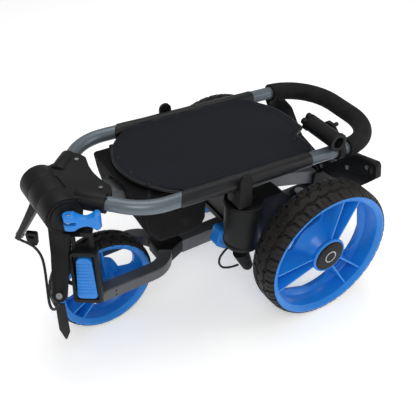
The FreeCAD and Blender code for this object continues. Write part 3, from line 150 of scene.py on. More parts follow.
def softened(node, width, segments=2, angle=34):
    """A copy of a CAD node with its corners rounded by width."""
    mesh = NODES[node].data.copy()
    shaped = bmesh.new()
    shaped.from_mesh(mesh)
    bmesh.ops.remove_doubles(shaped, verts=shaped.verts, dist=2e-6)
    bmesh.ops.dissolve_limit(shaped, angle_limit=math.radians(0.6), verts=shaped.verts, edges=shaped.edges)
    shaped.to_mesh(mesh)
    shaped.free()
    piece = link(bpy.data.objects.new(node + "_finished", mesh))
    edge = piece.modifiers.new("edge", "BEVEL")
    edge.width = width
    edge.segments = segments
    edge.limit_method = "ANGLE"
    edge.angle_limit = math.radians(angle)
    edge.use_clamp_overlap = True
    bpy.context.view_layer.update()
    baked(piece)
    crisp(piece.data, 40)
    return piece


def fine_noise(points, scale, seed):
    """Sum of nine sine waves in seeded directions: a smooth bumpiness, mostly from -1 to 1."""
    random = np.random.default_rng(seed)
    total = np.zeros(points.shape[:-1])
    for _ in range(9):
        way = random.normal(size=3)
        way *= (0.6 + 1.1 * random.random()) / np.linalg.norm(way)
        total += np.sin(points @ way * scale + random.random() * 6.283)
    return total / 5.0


def step(x, low, high):
    """Smooth step from 0 at low to 1 at high."""
    share = np.clip((x - low) / (high - low), 0, 1)
    return share * share * (3 - 2 * share)


def triangle(x):
    """Triangle wave of period 1 between -1 and 1."""
    return 2 * np.abs(2 * (x - np.floor(x + 0.5))) - 1


def in_loop(s, y, z):
    """From the loop's own plane to the shared frame: s along the tubes, z above them."""
    cos, sin = math.cos(LOOP_TILT), math.sin(LOOP_TILT)
    return np.stack(np.broadcast_arrays(BARREL_X + s * cos + z * sin, y, LOOP_Z - s * sin + z * cos), axis=-1)


# ---------------------------------------------------------------- finishes


def new_group(name, inputs, outputs):
    """A shader group with named number or colour sockets; inputs are (name, default)."""
    group = bpy.data.node_groups.new(name, "ShaderNodeTree")
    for label, value in inputs:
        kind = "NodeSocketFloat" if isinstance(value, (int, float)) else "NodeSocketColor"
        socket = group.interface.new_socket(label, in_out="INPUT", socket_type=kind)
        socket.default_value = value
    for label, kind in outputs:
        group.interface.new_socket(label, in_out="OUTPUT", socket_type=kind)
    return group, group.nodes.new("NodeGroupInput"), group.nodes.new("NodeGroupOutput")


def add(tree, kind, **values):
    """A node whose sockets and properties are set by name; double underscores stand for spaces."""
    node = tree.nodes.new(kind)
    for key, value in values.items():
        label = key.replace("__", " ")
        if label in node.inputs and not hasattr(node, key):
            node.inputs[label].default_value = value
        else:
            setattr(node, key, value)
    return node


def maths(tree, operation, a, b=None, clamp=False):
    """A Math node fed by sockets or numbers; gives its output."""
    node = tree.nodes.new("ShaderNodeMath")
    node.operation = operation
    node.use_clamp = clamp
    for socket, value in zip(node.inputs, (a, b)):
        if value is None:
            continue
        if isinstance(value, (int, float)):
            socket.default_value = value
        else:
            tree.links.new(value, socket)
    return node.outputs[0]


def grain_group():
    """Moulded grain: two sizes of noise give a height, and a slow one a blotch mask."""
    group, inside, out = new_group(
        "moulded_grain", [("Scale", 900.0), ("Blotch Scale", 14.0)],
        [("Height", "NodeSocketFloat"), ("Blotch", "NodeSocketFloat")])
    place = add(group, "ShaderNodeTexCoord")
    fine = add(group, "ShaderNodeTexNoise", Detail=4.0, Roughness=0.6)
    coarse = add(group, "ShaderNodeTexNoise", Detail=5.0, Roughness=0.62, Distortion=0.4)
    pits = add(group, "ShaderNodeTexVoronoi")
    for texture in (fine, coarse, pits):
        group.links.new(place.outputs["Object"], texture.inputs["Vector"])
    group.links.new(inside.outputs["Scale"], fine.inputs["Scale"])
    group.links.new(inside.outputs["Scale"], pits.inputs["Scale"])
    group.links.new(inside.outputs["Blotch Scale"], coarse.inputs["Scale"])
    mixed = maths(group, "MULTIPLY", fine.outputs["Fac"], pits.outputs["Distance"])
    group.links.new(maths(group, "ADD", mixed, fine.outputs["Fac"]), out.inputs["Height"])
    ramp = add(group, "ShaderNodeMapRange", From__Min=0.35, From__Max=0.68)
    group.links.new(coarse.outputs["Fac"], ramp.inputs["Value"])
    group.links.new(ramp.outputs["Result"], out.inputs["Blotch"])
    return group


def weave_group():
    """Plain weave: warp and weft waves across each other give threads, with slubs from noise."""
    group, inside, out = new_group(
        "plain_weave", [("Threads", 620.0), ("Slub", 0.35)],
        [("Height", "NodeSocketFloat"), ("Thread", "NodeSocketFloat")])
    place = add(group, "ShaderNodeTexCoord")
    bands = []
    for way in ("X", "Y"):
        band = add(group, "ShaderNodeTexWave", wave_type="BANDS", bands_direction=way, wave_profile="SIN",
                   Distortion=0.35, Detail=1.0)
        group.links.new(place.outputs["Object"], band.inputs["Vector"])
        group.links.new(inside.outputs["Threads"], band.inputs["Scale"])
        bands.append(band.outputs["Fac"])
    slub = add(group, "ShaderNodeTexNoise", Scale=210.0, Detail=3.0)
    group.links.new(place.outputs["Object"], slub.inputs["Vector"])
    crossing = maths(group, "MAXIMUM", bands[0], bands[1])
    lumps = maths(group, "MULTIPLY", slub.outputs["Fac"], inside.outputs["Slub"])
    group.links.new(maths(group, "ADD", crossing, lumps), out.inputs["Height"])
    group.links.new(crossing, out.inputs["Thread"])
    return group


def wear_group():
    """Handling marks: thin scratches and smudges from stretched noise."""
    group, inside, out = new_group(
        "handling_marks", [("Scale", 60.0), ("Amount", 0.5)],
        [("Scratch", "NodeSocketFloat"), ("Smudge", "NodeSocketFloat")])
    place = add(group, "ShaderNodeTexCoord")
    turn = add(group, "ShaderNodeMapping", vector_type="POINT")
    turn.inputs["Rotation"].default_value = (0.4, 0.7, 0.9)
    turn.inputs["Scale"].default_value = (1.0, 14.0, 5.0)
    lines = add(group, "ShaderNodeTexNoise", Detail=3.0, Roughness=0.7)
    smudge = add(group, "ShaderNodeTexNoise", Scale=24.0, Detail=4.0, Distortion=0.8)
    group.links.new(place.outputs["Object"], turn.inputs["Vector"])
    group.links.new(turn.outputs["Vector"], lines.inputs["Vector"])
    group.links.new(place.outputs["Object"], smudge.inputs["Vector"])
    group.links.new(inside.outputs["Scale"], lines.inputs["Scale"])
    thin = add(group, "ShaderNodeMapRange", From__Min=0.66, From__Max=0.74)
    group.links.new(lines.outputs["Fac"], thin.inputs["Value"])
    wide = add(group, "ShaderNodeMapRange", From__Min=0.42, From__Max=0.7)
    group.links.new(smudge.outputs["Fac"], wide.inputs["Value"])
    for label, mask in (("Scratch", thin), ("Smudge", wide)):
        share = maths(group, "MULTIPLY", mask.outputs["Result"], inside.outputs["Amount"])
        group.links.new(share, out.inputs[label])
    return group


def place_group(tree, name, **values):
    """A named shader group in a material, with its own values."""
    node = tree.nodes.new("ShaderNodeGroup")
    node.node_tree = bpy.data.node_groups[name]
    for key, value in values.items():
        node.inputs[key.replace("__", " ")].default_value = value
    return node


def shade_mix(tree, mask, low, high):
    """Colour from low to high by a mask socket."""
    ramp = add(tree, "ShaderNodeMix", data_type="RGBA")
    tree.links.new(mask, ramp.inputs["Factor"])
    ramp.inputs[6].default_value = (*low, 1)
    ramp.inputs[7].default_value = (*high, 1)
    return ramp.outputs[2]


def start_material(name):
    """An empty material with its Principled shader."""
    material = bpy.data.materials.new(name)
    material.use_nodes = True
    return material, material.node_tree, material.node_tree.nodes["Principled BSDF"]


def solid_finish(name, low, high, rough, grain=900.0, blotch=14.0, bump=0.25, depth=0.0004, spread=0.12,
                 marks=0.4, **shader):
    """A moulded, painted or rubber finish: blotched colour, grain in bump and marks in roughness."""
    material, tree, surface = start_material(name)
    texture = place_group(tree, "moulded_grain", Scale=grain, Blotch__Scale=blotch)
    wear = place_group(tree, "handling_marks", Amount=marks)
    tree.links.new(shade_mix(tree, texture.outputs["Blotch"], low, high), surface.inputs["Base Color"])
    varied = maths(tree, "MULTIPLY", texture.outputs["Blotch"], spread)
    marked = maths(tree, "MULTIPLY", wear.outputs["Smudge"], spread)
    scratched = maths(tree, "MULTIPLY", wear.outputs["Scratch"], spread * 1.4)
    total = maths(tree, "ADD", maths(tree, "ADD", varied, marked), maths(tree, "ADD", scratched, rough))
    tree.links.new(total, surface.inputs["Roughness"])
    relief = add(tree, "ShaderNodeBump", Strength=bump, Distance=depth)
    tree.links.new(texture.outputs["Height"], relief.inputs["Height"])
    tree.links.new(relief.outputs["Normal"], surface.inputs["Normal"])
    for key, value in shader.items():
        surface.inputs[key.replace("__", " ")].default_value = value
    return material


def cloth_finish(name, low, high, rough, threads=620.0, bump=0.5, **shader):
    """A woven finish: thread pattern in bump, and in colour as painted shade between the threads, over slow
    blotches of tone.
    """
    material, tree, surface = start_material(name)
    weave = place_group(tree, "plain_weave", Threads=threads)
    texture = place_group(tree, "moulded_grain", Scale=500.0, Blotch__Scale=9.0)
    # colour from random blotches of tone times the threads: darker between the threads as painted shade
    blotch_and_thread_shade = maths(tree, "MULTIPLY", texture.outputs["Blotch"], weave.outputs["Thread"])
    tree.links.new(shade_mix(tree, blotch_and_thread_shade, low, high), surface.inputs["Base Color"])
    tree.links.new(maths(tree, "ADD", maths(tree, "MULTIPLY", texture.outputs["Blotch"], 0.14), rough),
                   surface.inputs["Roughness"])
    relief = add(tree, "ShaderNodeBump", Strength=bump, Distance=0.0004)
    tree.links.new(weave.outputs["Height"], relief.inputs["Height"])
    tree.links.new(relief.outputs["Normal"], surface.inputs["Normal"])
    for key, value in shader.items():
        surface.inputs[key.replace("__", " ")].default_value = value
    return material


def net_finish(name):
    """Knotted net: a Voronoi cell pattern makes cords over holes that are painted shade."""
    material, tree, surface = start_material(name)
    place = add(tree, "ShaderNodeTexCoord")
    cells = add(tree, "ShaderNodeTexVoronoi", feature="DISTANCE_TO_EDGE", Scale=420.0, Randomness=0.15)
    tree.links.new(place.outputs["Object"], cells.inputs["Vector"])
    cord = add(tree, "ShaderNodeMapRange", From__Min=0.05, From__Max=0.16)
    tree.links.new(cells.outputs["Distance"], cord.inputs["Value"])
    # colour from the lighter cords to the near black holes: the holes are painted shade
    tree.links.new(shade_mix(tree, cord.outputs["Result"], (0.020, 0.020, 0.023), (0.002, 0.002, 0.002)),
                   surface.inputs["Base Color"])
    relief = add(tree, "ShaderNodeBump", Strength=0.9, Distance=0.0012, invert=True)
    tree.links.new(cord.outputs["Result"], relief.inputs["Height"])
    tree.links.new(relief.outputs["Normal"], surface.inputs["Normal"])
    surface.inputs["Roughness"].default_value = 0.82
    surface.inputs["Specular IOR Level"].default_value = 0.15
    return material


def tyre_finish(name):
    """Tread rubber: from an attribute, painted shade in the grooves and painted highlight on the block tops,
    brighter towards the shoulders; scuffed brownish dust over it.
    """
    material, tree, surface = start_material(name)
    # the tread attribute sets the colour: painted shade in the grooves, painted highlight on the block tops
    height = add(tree, "ShaderNodeAttribute", attribute_name="tread")
    texture = place_group(tree, "moulded_grain", Scale=650.0, Blotch__Scale=22.0)
    base = add(tree, "ShaderNodeMix", data_type="RGBA")
    tree.links.new(height.outputs["Fac"], base.inputs["Factor"])
    base.inputs[6].default_value = (0.0030, 0.0028, 0.0026, 1)
    base.inputs[7].default_value = (0.0130, 0.0125, 0.0120, 1)
    dusty = add(tree, "ShaderNodeMix", data_type="RGBA")
    tree.links.new(maths(tree, "MULTIPLY", texture.outputs["Blotch"], 0.30), dusty.inputs["Factor"])
    tree.links.new(base.outputs[2], dusty.inputs[6])
    dusty.inputs[7].default_value = (0.030, 0.023, 0.018, 1)
    tree.links.new(dusty.outputs[2], surface.inputs["Base Color"])
    tree.links.new(maths(tree, "ADD", maths(tree, "MULTIPLY", texture.outputs["Blotch"], 0.2), 0.5),
                   surface.inputs["Roughness"])
    surface.inputs["Specular IOR Level"].default_value = 0.28
    relief = add(tree, "ShaderNodeBump", Strength=0.45, Distance=0.0005)
    tree.links.new(texture.outputs["Height"], relief.inputs["Height"])
    tree.links.new(relief.outputs["Normal"], surface.inputs["Normal"])
    return material


def braid_finish(name):
    """Braided cord cover: two slanted waves along the cord's own UV map."""
    material, tree, surface = start_material(name)
    place = add(tree, "ShaderNodeTexCoord")
    heights = []
    for slant in (0.7, -0.7):
        turn = add(tree, "ShaderNodeMapping")
        turn.inputs["Rotation"].default_value = (0, 0, slant)
        turn.inputs["Scale"].default_value = (60.0, 6.0, 1.0)
        wave = add(tree, "ShaderNodeTexWave", Scale=1.0)
        tree.links.new(place.outputs["UV"], turn.inputs["Vector"])
        tree.links.new(turn.outputs["Vector"], wave.inputs["Vector"])
        heights.append(wave.outputs["Fac"])
    braid = maths(tree, "MAXIMUM", heights[0], heights[1])
    colour = shade_mix(tree, braid, (0.006, 0.006, 0.007), (0.030, 0.030, 0.033))
    tree.links.new(colour, surface.inputs["Base Color"])
    relief = add(tree, "ShaderNodeBump", Strength=0.5, Distance=0.0004)
    tree.links.new(braid, relief.inputs["Height"])
    tree.links.new(relief.outputs["Normal"], surface.inputs["Normal"])
    surface.inputs["Roughness"].default_value = 0.7
    return material


FINISH = {}


def make_finishes(settings):
    """Every finish of the cart, by the record's slot name where it has one."""
    grain_group()
    weave_group()
    wear_group()
    slate = np.array(settings.tube_colour[:3])
    blue = np.array(settings.wheel_colour[:3])
    FINISH["tube_paint"] = solid_finish(
        "slate_tube_paint", slate * 0.86, slate * 1.10, 0.33, grain=1500.0, blotch=9.0, bump=0.10,
        Metallic=0.35, Coat__Weight=0.25, Coat__Roughness=0.25)
    FINISH["dark_paint"] = solid_finish(
        "fork_paint", (0.070, 0.074, 0.080), (0.098, 0.103, 0.110), 0.36, grain=1500.0, blotch=11.0,
        bump=0.12, Metallic=0.30, Coat__Weight=0.15, Coat__Roughness=0.3)
    FINISH["black_plastic"] = solid_finish(
        "grained_black_plastic", (0.0040, 0.0042, 0.0046), (0.0075, 0.0078, 0.0084), 0.40,
        grain=1100.0, bump=0.28, spread=0.16, Specular__IOR__Level=0.22)
    FINISH["blue_plastic"] = solid_finish(
        "glossy_blue_plastic", blue * 0.86, blue * 1.06, 0.30, grain=700.0, blotch=7.0, bump=0.05,
        spread=0.07, Specular__IOR__Level=0.35, Coat__Weight=0.12, Coat__Roughness=0.15)
    FINISH["steel"] = solid_finish(
        "brushed_pin_steel", (0.34, 0.34, 0.35), (0.50, 0.50, 0.52), 0.28, grain=2600.0, bump=0.1,
        Metallic=1.0)
    FINISH["foam"] = solid_finish(
        "foam_grip_skin", (0.0055, 0.0055, 0.006), (0.0165, 0.0165, 0.0175), 0.74, grain=520.0, blotch=42.0,
        bump=0.8, depth=0.0009, spread=0.1, Specular__IOR__Level=0.2)
    FINISH["boot_rubber"] = solid_finish(
        "boot_rubber_skin", (0.004, 0.004, 0.0042), (0.009, 0.009, 0.0094), 0.46, grain=900.0, bump=0.3,
        Specular__IOR__Level=0.25)
    FINISH["cable_cover"] = solid_finish(
        "cable_sleeve", (0.006, 0.006, 0.006), (0.011, 0.011, 0.011), 0.35, grain=1500.0, bump=0.1)
    FINISH["panel_fabric"] = cloth_finish(
        "coated_navy_cloth", (0.0048, 0.0060, 0.0100), (0.0095, 0.0115, 0.0170), 0.60,
        Specular__IOR__Level=0.2)
    FINISH["sleeve_fabric"] = cloth_finish(
        "glossy_sleeve_cloth", (0.0040, 0.0044, 0.0056), (0.0080, 0.0085, 0.0100), 0.36, threads=820.0,
        bump=0.2, Specular__IOR__Level=0.35)
    FINISH["net"] = net_finish("pouch_net")
    FINISH["tyre_rubber"] = tyre_finish("tread_rubber")
    FINISH["cord_cover"] = braid_finish("braided_cover")
    FINISH["hub_silver"] = solid_finish(
        "satin_hub_ring", (0.42, 0.43, 0.45), (0.55, 0.56, 0.58), 0.3, grain=1800.0, bump=0.05, Metallic=0.9)


def dress(piece, slot):
    """Give a piece its one finish."""
    piece.data.materials.clear()
    piece.data.materials.append(FINISH[slot])
    return piece


# ---------------------------------------------------------------- wheels


def tyre_ring(name, centre, y, tread_r, seat_r, width, blocks, per_block):
    """Tyre: a closed section carried round the axle. Across the tread v runs -1 to 1 and the
    radius is tread_r - crown * |v|^4 less a groove depth; grooves are slanted Z-shaped lines."""
    half = width / 2
    across = 45
    v = np.linspace(-1, 1, across)
    turns = blocks * per_block
    theta = np.arange(turns) * (2 * math.pi / turns)
    u = theta[:, None] * blocks / (2 * math.pi)
    side = np.where(v < 0, 0.5, 0.0)[None, :]
    size_v = np.abs(v)[None, :]
    kink = 0.42 * step(size_v, 0.34, 0.56) + 0.10 * step(size_v, 0.80, 0.98)
    lane = u + side + kink
    lateral = np.abs(lane - np.round(lane))
    cross = 1 - step(lateral, 0.055, 0.105)
    zig = 0.30 + 0.075 * triangle(u + side)
    centre_line = 1 - step(np.abs(size_v - zig), 0.035, 0.065)
    between = np.abs(np.abs(lane - np.floor(lane)) - 0.5)
    sipe = (1 - step(between, 0.015, 0.035)) * step(size_v, 0.5, 0.6) * 0.5
    groove = np.clip(np.maximum(np.maximum(cross * step(size_v, 0.06, 0.16), centre_line), sipe), 0, 1)
    crown = 0.0065 * size_v ** 4
    depth = 0.0034 * groove
    radius = tread_r - crown - depth
    shade = np.concatenate([1 - groove, np.zeros((turns, 1))], axis=1)
    wall_y = np.array([half, half, half - 0.010, -half + 0.010, -half, -half])
    wall_r = np.array([tread_r - 0.0075, seat_r + 0.0004, seat_r - 0.008, seat_r - 0.008, seat_r + 0.0004,
                       tread_r - 0.0075])
    notch = 0.0016 * (cross[:, -1:] > 0.5)
    wall_r_full = np.repeat(wall_r[None, :], turns, axis=0)
    wall_r_full[:, :1] -= notch
    wall_r_full[:, -1:] -= 0.0016 * (cross[:, :1] > 0.5)
    section_r = np.concatenate([radius, wall_r_full], axis=1)
    section_y = np.concatenate([np.repeat((v * half * 0.985)[None, :], turns, axis=0),
                                np.repeat(wall_y[None, :], turns, axis=0)], axis=1)
    rings = np.stack([centre[0] + section_r * np.cos(theta)[:, None], y + section_y,
                      centre[1] + section_r * np.sin(theta)[:, None]], axis=-1)
    piece = loft(name, rings, wrap=True)
    crisp(piece.data, 38)
    # tread attribute for the colour, painted light and shade: 0 in the grooves as painted shade, block tops
    # from 0.55 at the centre to 1 at the shoulders as painted highlight, 0.5 on the walls
    shade = np.concatenate([np.clip(1 - groove, 0, 1) * (0.55 + 0.45 * step(size_v, 0.4, 0.9)),
                            np.full((turns, 6), 0.5)], axis=1)
    attribute = piece.data.attributes.new("tread", "FLOAT", "POINT")
    attribute.data.foreach_set("value", shade.astype(np.float32).ravel())
    return piece


def turned(name, axle, y, profile, way=1, segments=96):
    """A solid of revolution about the wheel axle; profile is (radius, offset along way)."""
    theta = np.linspace(0, 2 * math.pi, segments, endpoint=False)
    profile = np.asarray(profile)
    rings = np.stack([
        axle[0] + profile[None, :, 0] * np.cos(theta)[:, None],
        np.repeat((y + way * profile[:, 1])[None, :], segments, axis=0),
        axle[1] + profile[None, :, 0] * np.sin(theta)[:, None]], axis=-1)
    piece = loft(name, rings, wrap=True)
    crisp(piece.data, 30)
    return piece


def make_rim(node, body):
    """A rim from its CAD shape with rounded corners."""
    settle(dress(softened(node, 0.0011, 2, 25), "blue_plastic"), body, [node])


def make_wheels():
    """Tyres, rims, hub rings and caps of the three wheels."""
    for side, way in (("near", -1), ("far", 1)):
        y = way * WHEEL_Y
        body = f"rear_wheel_{side}"
        tyre = tyre_ring(f"rear_tread_{side}", REAR_AXLE, y, *REAR_TYRE, 34, 20)
        settle(dress(tyre, "tyre_rubber"), body, [f"rear_tyre_{side}"])
        make_rim(f"rear_rim_{side}", body)
        collar = turned(f"rear_hub_collar_{side}", REAR_AXLE, y + way * (HUB_HALF - 0.0005),
                        [(0.0290, -0.0040), (0.0320, -0.0040), (0.0362, 0.0), (0.0368, 0.0015),
                         (0.0360, 0.0036), (0.0342, 0.0048), (0.0325, 0.0048), (0.0325, 0.0006),
                         (0.0290, 0.0006)], way)
        settle(dress(collar, "blue_plastic"), body)
        cap = dress(softened(f"hub_cap_{side}", 0.0006), "black_plastic")
        settle(cap, body, [f"hub_cap_{side}"])
        mark = turned(f"hub_ring_{side}", REAR_AXLE, y + way * 0.0319,
                      [(0.0105, 0.0), (0.0125, 0.0), (0.0125, 0.0008), (0.0105, 0.0008)], way, 64)
        settle(dress(mark, "hub_silver"), body)
    tyre = tyre_ring("front_tread", FRONT_AXLE, 0.0, *FRONT_TYRE, 28, 20)
    settle(dress(tyre, "tyre_rubber"), "front_wheel", ["front_tyre"])
    make_rim("front_rim", "front_wheel")


# ---------------------------------------------------------------- cloth


def panel_edges(y):
    """Left and right edge of the panel along the tubes, for a distance y from the centre plane."""
    share = np.abs(y) / PANEL_FREE_HALF
    left = 0.129 + 0.062 * share ** 2.4
    right = 0.510 - 0.045 * share ** 3.0
    near = 0.508 - 0.029 * step(-y, 0.026, 0.048) - 0.012 * step(-y, 0.088, 0.110)
    return left, np.where(y < 0, np.minimum(right, near), right)


def make_panel():
    """Sewn panel: a thin slab across the loop that climbs on to the tubes. Its top is a fine grid; seams
    are narrow dips at set distances from the edges, and the cloth between them puckers a little."""
    rows = 150
    along = 150
    y = PANEL_HALF * np.sin(np.linspace(-math.pi / 2, math.pi / 2, rows))[:, None]
    left, right = panel_edges(y)
    t = (1 - np.cos(np.linspace(0, math.pi, along)))[None, :] / 2
    s = left + (right - left) * t
    inward = np.minimum(np.minimum(s - left, right - s), 0.1150 - np.abs(y))
    seam = np.exp(-((inward - 0.0075) / 0.0011) ** 2) + 0.7 * np.exp(-((inward - 0.0165) / 0.0010) ** 2)
    points = np.stack(np.broadcast_arrays(s, y, 0 * s), axis=-1)
    pucker = fine_noise(points, 95.0, 4) * 0.0005 + fine_noise(points, 30.0, 7) * 0.0010
    hem = 0.0012 * step(inward, 0.0, 0.003) * (1 - step(inward, 0.0155, 0.0175))
    sag = -0.0020 * np.sin(math.pi * t) * (1 - (y / 0.1085) ** 2)
    stitch_tug = 0.00035 * np.sin(s * 520.0) * np.exp(-((inward - 0.012) / 0.005) ** 2)
    top = 0.0050 + hem + pucker * step(inward, 0.012, 0.030) + sag - 0.0011 * seam + stitch_tug
    beside = np.clip(LOOP_HALF - np.abs(y), 0, TUBE_R)
    over_tube = np.sqrt(TUBE_R ** 2 - beside ** 2)
    lift = 0.0030 * step(np.abs(y), 0.060, PANEL_FREE_HALF)
    top = np.maximum(top + lift, over_tube + 0.0019)
    bottom = np.maximum(-0.0008 + 0.5 * sag + lift, over_tube + 0.0002)
    ring_s = np.concatenate([s, s[:, ::-1]], axis=1)
    ring_z = np.concatenate([top, bottom[:, ::-1]], axis=1)
    ring_y = np.repeat(y, 2 * along, axis=1)
    piece = loft("panel_cloth", in_loop(ring_s, ring_y, ring_z))
    crisp(piece.data, 60)
    return settle(dress(piece, "panel_fabric"), "loop", ["fabric_panel"])


def make_piping():
    """Bound edge of the panel: a thin cord along its left and right edges."""
    for name, index in (("panel_binding_left", 0), ("panel_binding_right", 1)):
        y = np.linspace(-0.1075, 0.1075, 120)
        s = panel_edges(y)[index]
        turn = np.linspace(0, 2 * math.pi, 12, endpoint=False)
        slope = np.gradient(s, y)
        normal_s = 1 / np.sqrt(1 + slope ** 2)
        normal_y = -slope * normal_s
        radius = 0.0030
        ring_s = s[:, None] + radius * np.cos(turn)[None, :] * normal_s[:, None]
        ring_y = y[:, None] + radius * np.cos(turn)[None, :] * normal_y[:, None]
        ring_z = 0.0026 + radius * 1.15 * np.sin(turn)[None, :] + 0 * y[:, None]
        piece = loft(name, in_loop(ring_s, ring_y, ring_z))
        settle(dress(piece, "sleeve_fabric"), "loop")


def make_sleeves():
    """Sleeves of the panel round the two tubes: a tube whose radius swells between its stitches, with a
    seam ridge on the inner side and slanted ends."""
    for side, way, start, stop in (("near", -1, 0.1815, 0.452), ("far", 1, 0.1815, 0.492)):
        rows, columns = 150, 40
        t = np.linspace(0, 1, rows)[:, None]
        turn = np.linspace(0, 2 * math.pi, columns, endpoint=False)[None, :]
        inner = way * -1
        slant = 0.010 * np.cos(turn) * inner * (way * -1) * (1 - t)
        s = start + (stop - start) * t + slant * 0.8
        out_y = np.cos(turn)
        out_z = np.sin(turn)
        points = np.stack(np.broadcast_arrays(s, out_y * 0.014, out_z * 0.014), axis=-1)
        wrinkle = 0.00032 * fine_noise(points, 130.0, 11 + way)
        seam_at = 0.35 if inner > 0 else math.pi - 0.35
        gap = np.abs(np.angle(np.exp(1j * (turn - seam_at))))
        seam = 0.0006 * np.exp(-(gap / 0.22) ** 2)
        radius = TUBE_R + 0.0013 + wrinkle + seam + 0 * t
        radius = np.where((t < 0.001) | (t > 0.999), TUBE_R + 0.0002, radius)
        rings = in_loop(s, way * LOOP_HALF + radius * out_y, radius * out_z)
        piece = loft(f"tube_sleeve_{side}", rings)
        settle(dress(piece, "sleeve_fabric"), "loop")


def make_snaps():
    """Snap rivets that hold the panel's corners: a domed disc on a thin washer."""
    spots = ((0.150, -0.066), (0.1405, -0.020), (0.1405, 0.030), (0.150, 0.072), (0.466, -0.060),
             (0.492, 0.060))
    rings = []
    faces = []
    turn = np.linspace(0, 2 * math.pi, 20, endpoint=False)
    profile = ((0.0002, 0.0), (0.0062, 0.0), (0.0062, 0.0008), (0.0046, 0.0011), (0.0040, 0.0024),
               (0.0020, 0.0031), (0.0002, 0.0032))
    for n, (s, y) in enumerate(spots):
        for radius, lift in profile:
            height = 0.0046 + lift + 0 * turn
            rings.append(in_loop(s + radius * np.cos(turn), y + radius * np.sin(turn), height))
        faces += [[index + n * 140 for index in face] for face in ring_faces(7, 20, caps=True)]
    piece = mesh_of("panel_snaps", np.concatenate(rings), faces)
    settle(dress(piece, "black_plastic"), "loop")


def make_pouch():
    """Net pouch: the CAD shape rounded, remeshed and smoothed, with small folds pushed in and out from its
    middle.
    """
    piece = softened("mesh_pouch", 0.004, 2)
    piece.name = "net_pouch"
    remesh = piece.modifiers.new("cells", "REMESH")
    remesh.mode = "VOXEL"
    remesh.voxel_size = 0.0035
    relax = piece.modifiers.new("relax", "SMOOTH")
    relax.factor = 0.6
    relax.iterations = 14
    bpy.context.view_layer.update()
    baked(piece)
    count = len(piece.data.vertices)
    co = np.empty(count * 3)
    piece.data.vertices.foreach_get("co", co)
    co = co.reshape(-1, 3)
    fold = fine_noise(co, 110.0, 21) * 0.0013
    middle = np.array([-0.115, 0.0, 0.265])
    away = co - middle
    away /= np.linalg.norm(away, axis=1)[:, None]
    co = co + away * fold[:, None]
    piece.data.vertices.foreach_set("co", co.ravel())
    piece.data.update()
    piece.data.shade_smooth()
    settle(dress(piece, "net"), "loop", ["mesh_pouch"])
    return piece


# ---------------------------------------------------------------- cord and grip

BUNGEE = ((-0.344, 0.084, 0.188), (-0.336, 0.066, 0.190), (-0.328, 0.052, 0.186), (-0.324, 0.036, 0.176),
          (-0.328, 0.016, 0.166), (-0.336, -0.008, 0.157), (-0.344, -0.032, 0.149), (-0.351, -0.054, 0.145),
          (-0.353, -0.074, 0.149), (-0.349, -0.088, 0.163), (-0.345, -0.092, 0.178))


def make_bungee():
    """Elastic cord that hangs from its hook to the strap's tail."""
    curve = bpy.data.curves.new("bungee", "CURVE")
    curve.dimensions = "3D"
    line = curve.splines.new("NURBS")
    line.points.add(len(BUNGEE) - 1)
    for point, place in zip(line.points, BUNGEE):
        point.co = (*place, 1)
    line.order_u = 3
    line.use_endpoint_u = True
    curve.bevel_depth = 0.0025
    curve.bevel_resolution = 5
    curve.resolution_u = 10
    curve.use_fill_caps = True
    piece = link(bpy.data.objects.new("bungee_line", curve))
    piece.data.materials.append(FINISH["cord_cover"])
    settle(piece, "loop", ["bungee_cord"])


def make_grip():
    """Foam grip: the CAD shape with its square ends rounded a little."""
    piece = softened("foam_grip", 0.0016, 3, 50)
    settle(dress(piece, "foam"), "loop", ["foam_grip"])


# ---------------------------------------------------------------- mouldings and metal

ROUNDED = {
    "yoke": 0.0022, "leg_yoke": 0.0018, "tube_rests": 0.0015, "front_hinge_block": 0.0018,
    "hinge_core": 0.0006, "lower_bag_bracket": 0.0020, "bag_arm_near": 0.0020,
    "bag_arm_far": 0.0020, "catch_housing": 0.0018, "holder_clamp": 0.0014,
    "umbrella_socket": 0.0012, "holder_knob": 0.0012, "leg_near": 0.0022, "leg_far": 0.0022,
    "wheel_carrier_near": 0.0018, "wheel_carrier_far": 0.0018, "cam_lever": 0.0016,
    "catch_lever": 0.0010, "brake_pedal": 0.0030, "fork_crown": 0.0020, "front_arm": 0.0008,
    "fork_leg_near": 0.0006, "fork_leg_far": 0.0006, "main_beam": 0.0008, "leg_tie_near": 0.0012,
    "leg_tie_far": 0.0012, "bungee_hook": 0.0012, "hinge_cap_near": 0.0004, "hinge_cap_far": 0.0004,
    "strap_tail": 0.0006, "brake_boot": 0.0005, "hinge_skewer": 0.0004,
}


def make_mouldings(names):
    """Rounded and finished copies of CAD nodes."""
    for node in names:
        piece = dress(softened(node, ROUNDED[node]), SLOT_OF[node])
        settle(piece, BODY_OF[node], [node])


def disc_stack(name, spots, profile, columns=24):
    """Turned studs or bands at places: each spot is a centre and a unit axis, profile is (radius, lift)."""
    rings = []
    faces = []
    rows = len(profile)
    turn = np.linspace(0, 2 * math.pi, columns, endpoint=False)
    for n, (centre, axis) in enumerate(spots):
        axis = Vector(axis).normalized()
        side = axis.orthogonal().normalized()
        up = axis.cross(side)
        for radius, lift in profile:
            across = np.cos(turn)[:, None] * np.array(side) + np.sin(turn)[:, None] * np.array(up)
            rings.append(np.array(centre)[None, :] + np.array(axis)[None, :] * lift + radius * across)
        first = n * rows * columns
        faces += [[index + first for index in face] for face in ring_faces(rows, columns, caps=True)]
    piece = mesh_of(name, np.concatenate(rings), faces)
    crisp(piece.data, 35)
    return piece


def make_trims():
    """Small trims: a turned band at the top and the foot of each rear leg's knuckle."""
    band = [(0.0352, 0.0), (0.0362, 0.0008), (0.0362, 0.0036), (0.0352, 0.0044)]
    for side, way in (("near", -1), ("far", 1)):
        for name, height in (("rim", 0.2535), ("foot", 0.166)):
            spot = (LEG_HINGE[0], way * LEG_HINGE[1], height)
            ring = disc_stack(f"knuckle_{name}_{side}", [(spot, (0, 0, 1))], band, 96)
            settle(dress(ring, "black_plastic"), f"leg_{side}")


# ---------------------------------------------------------------- stage


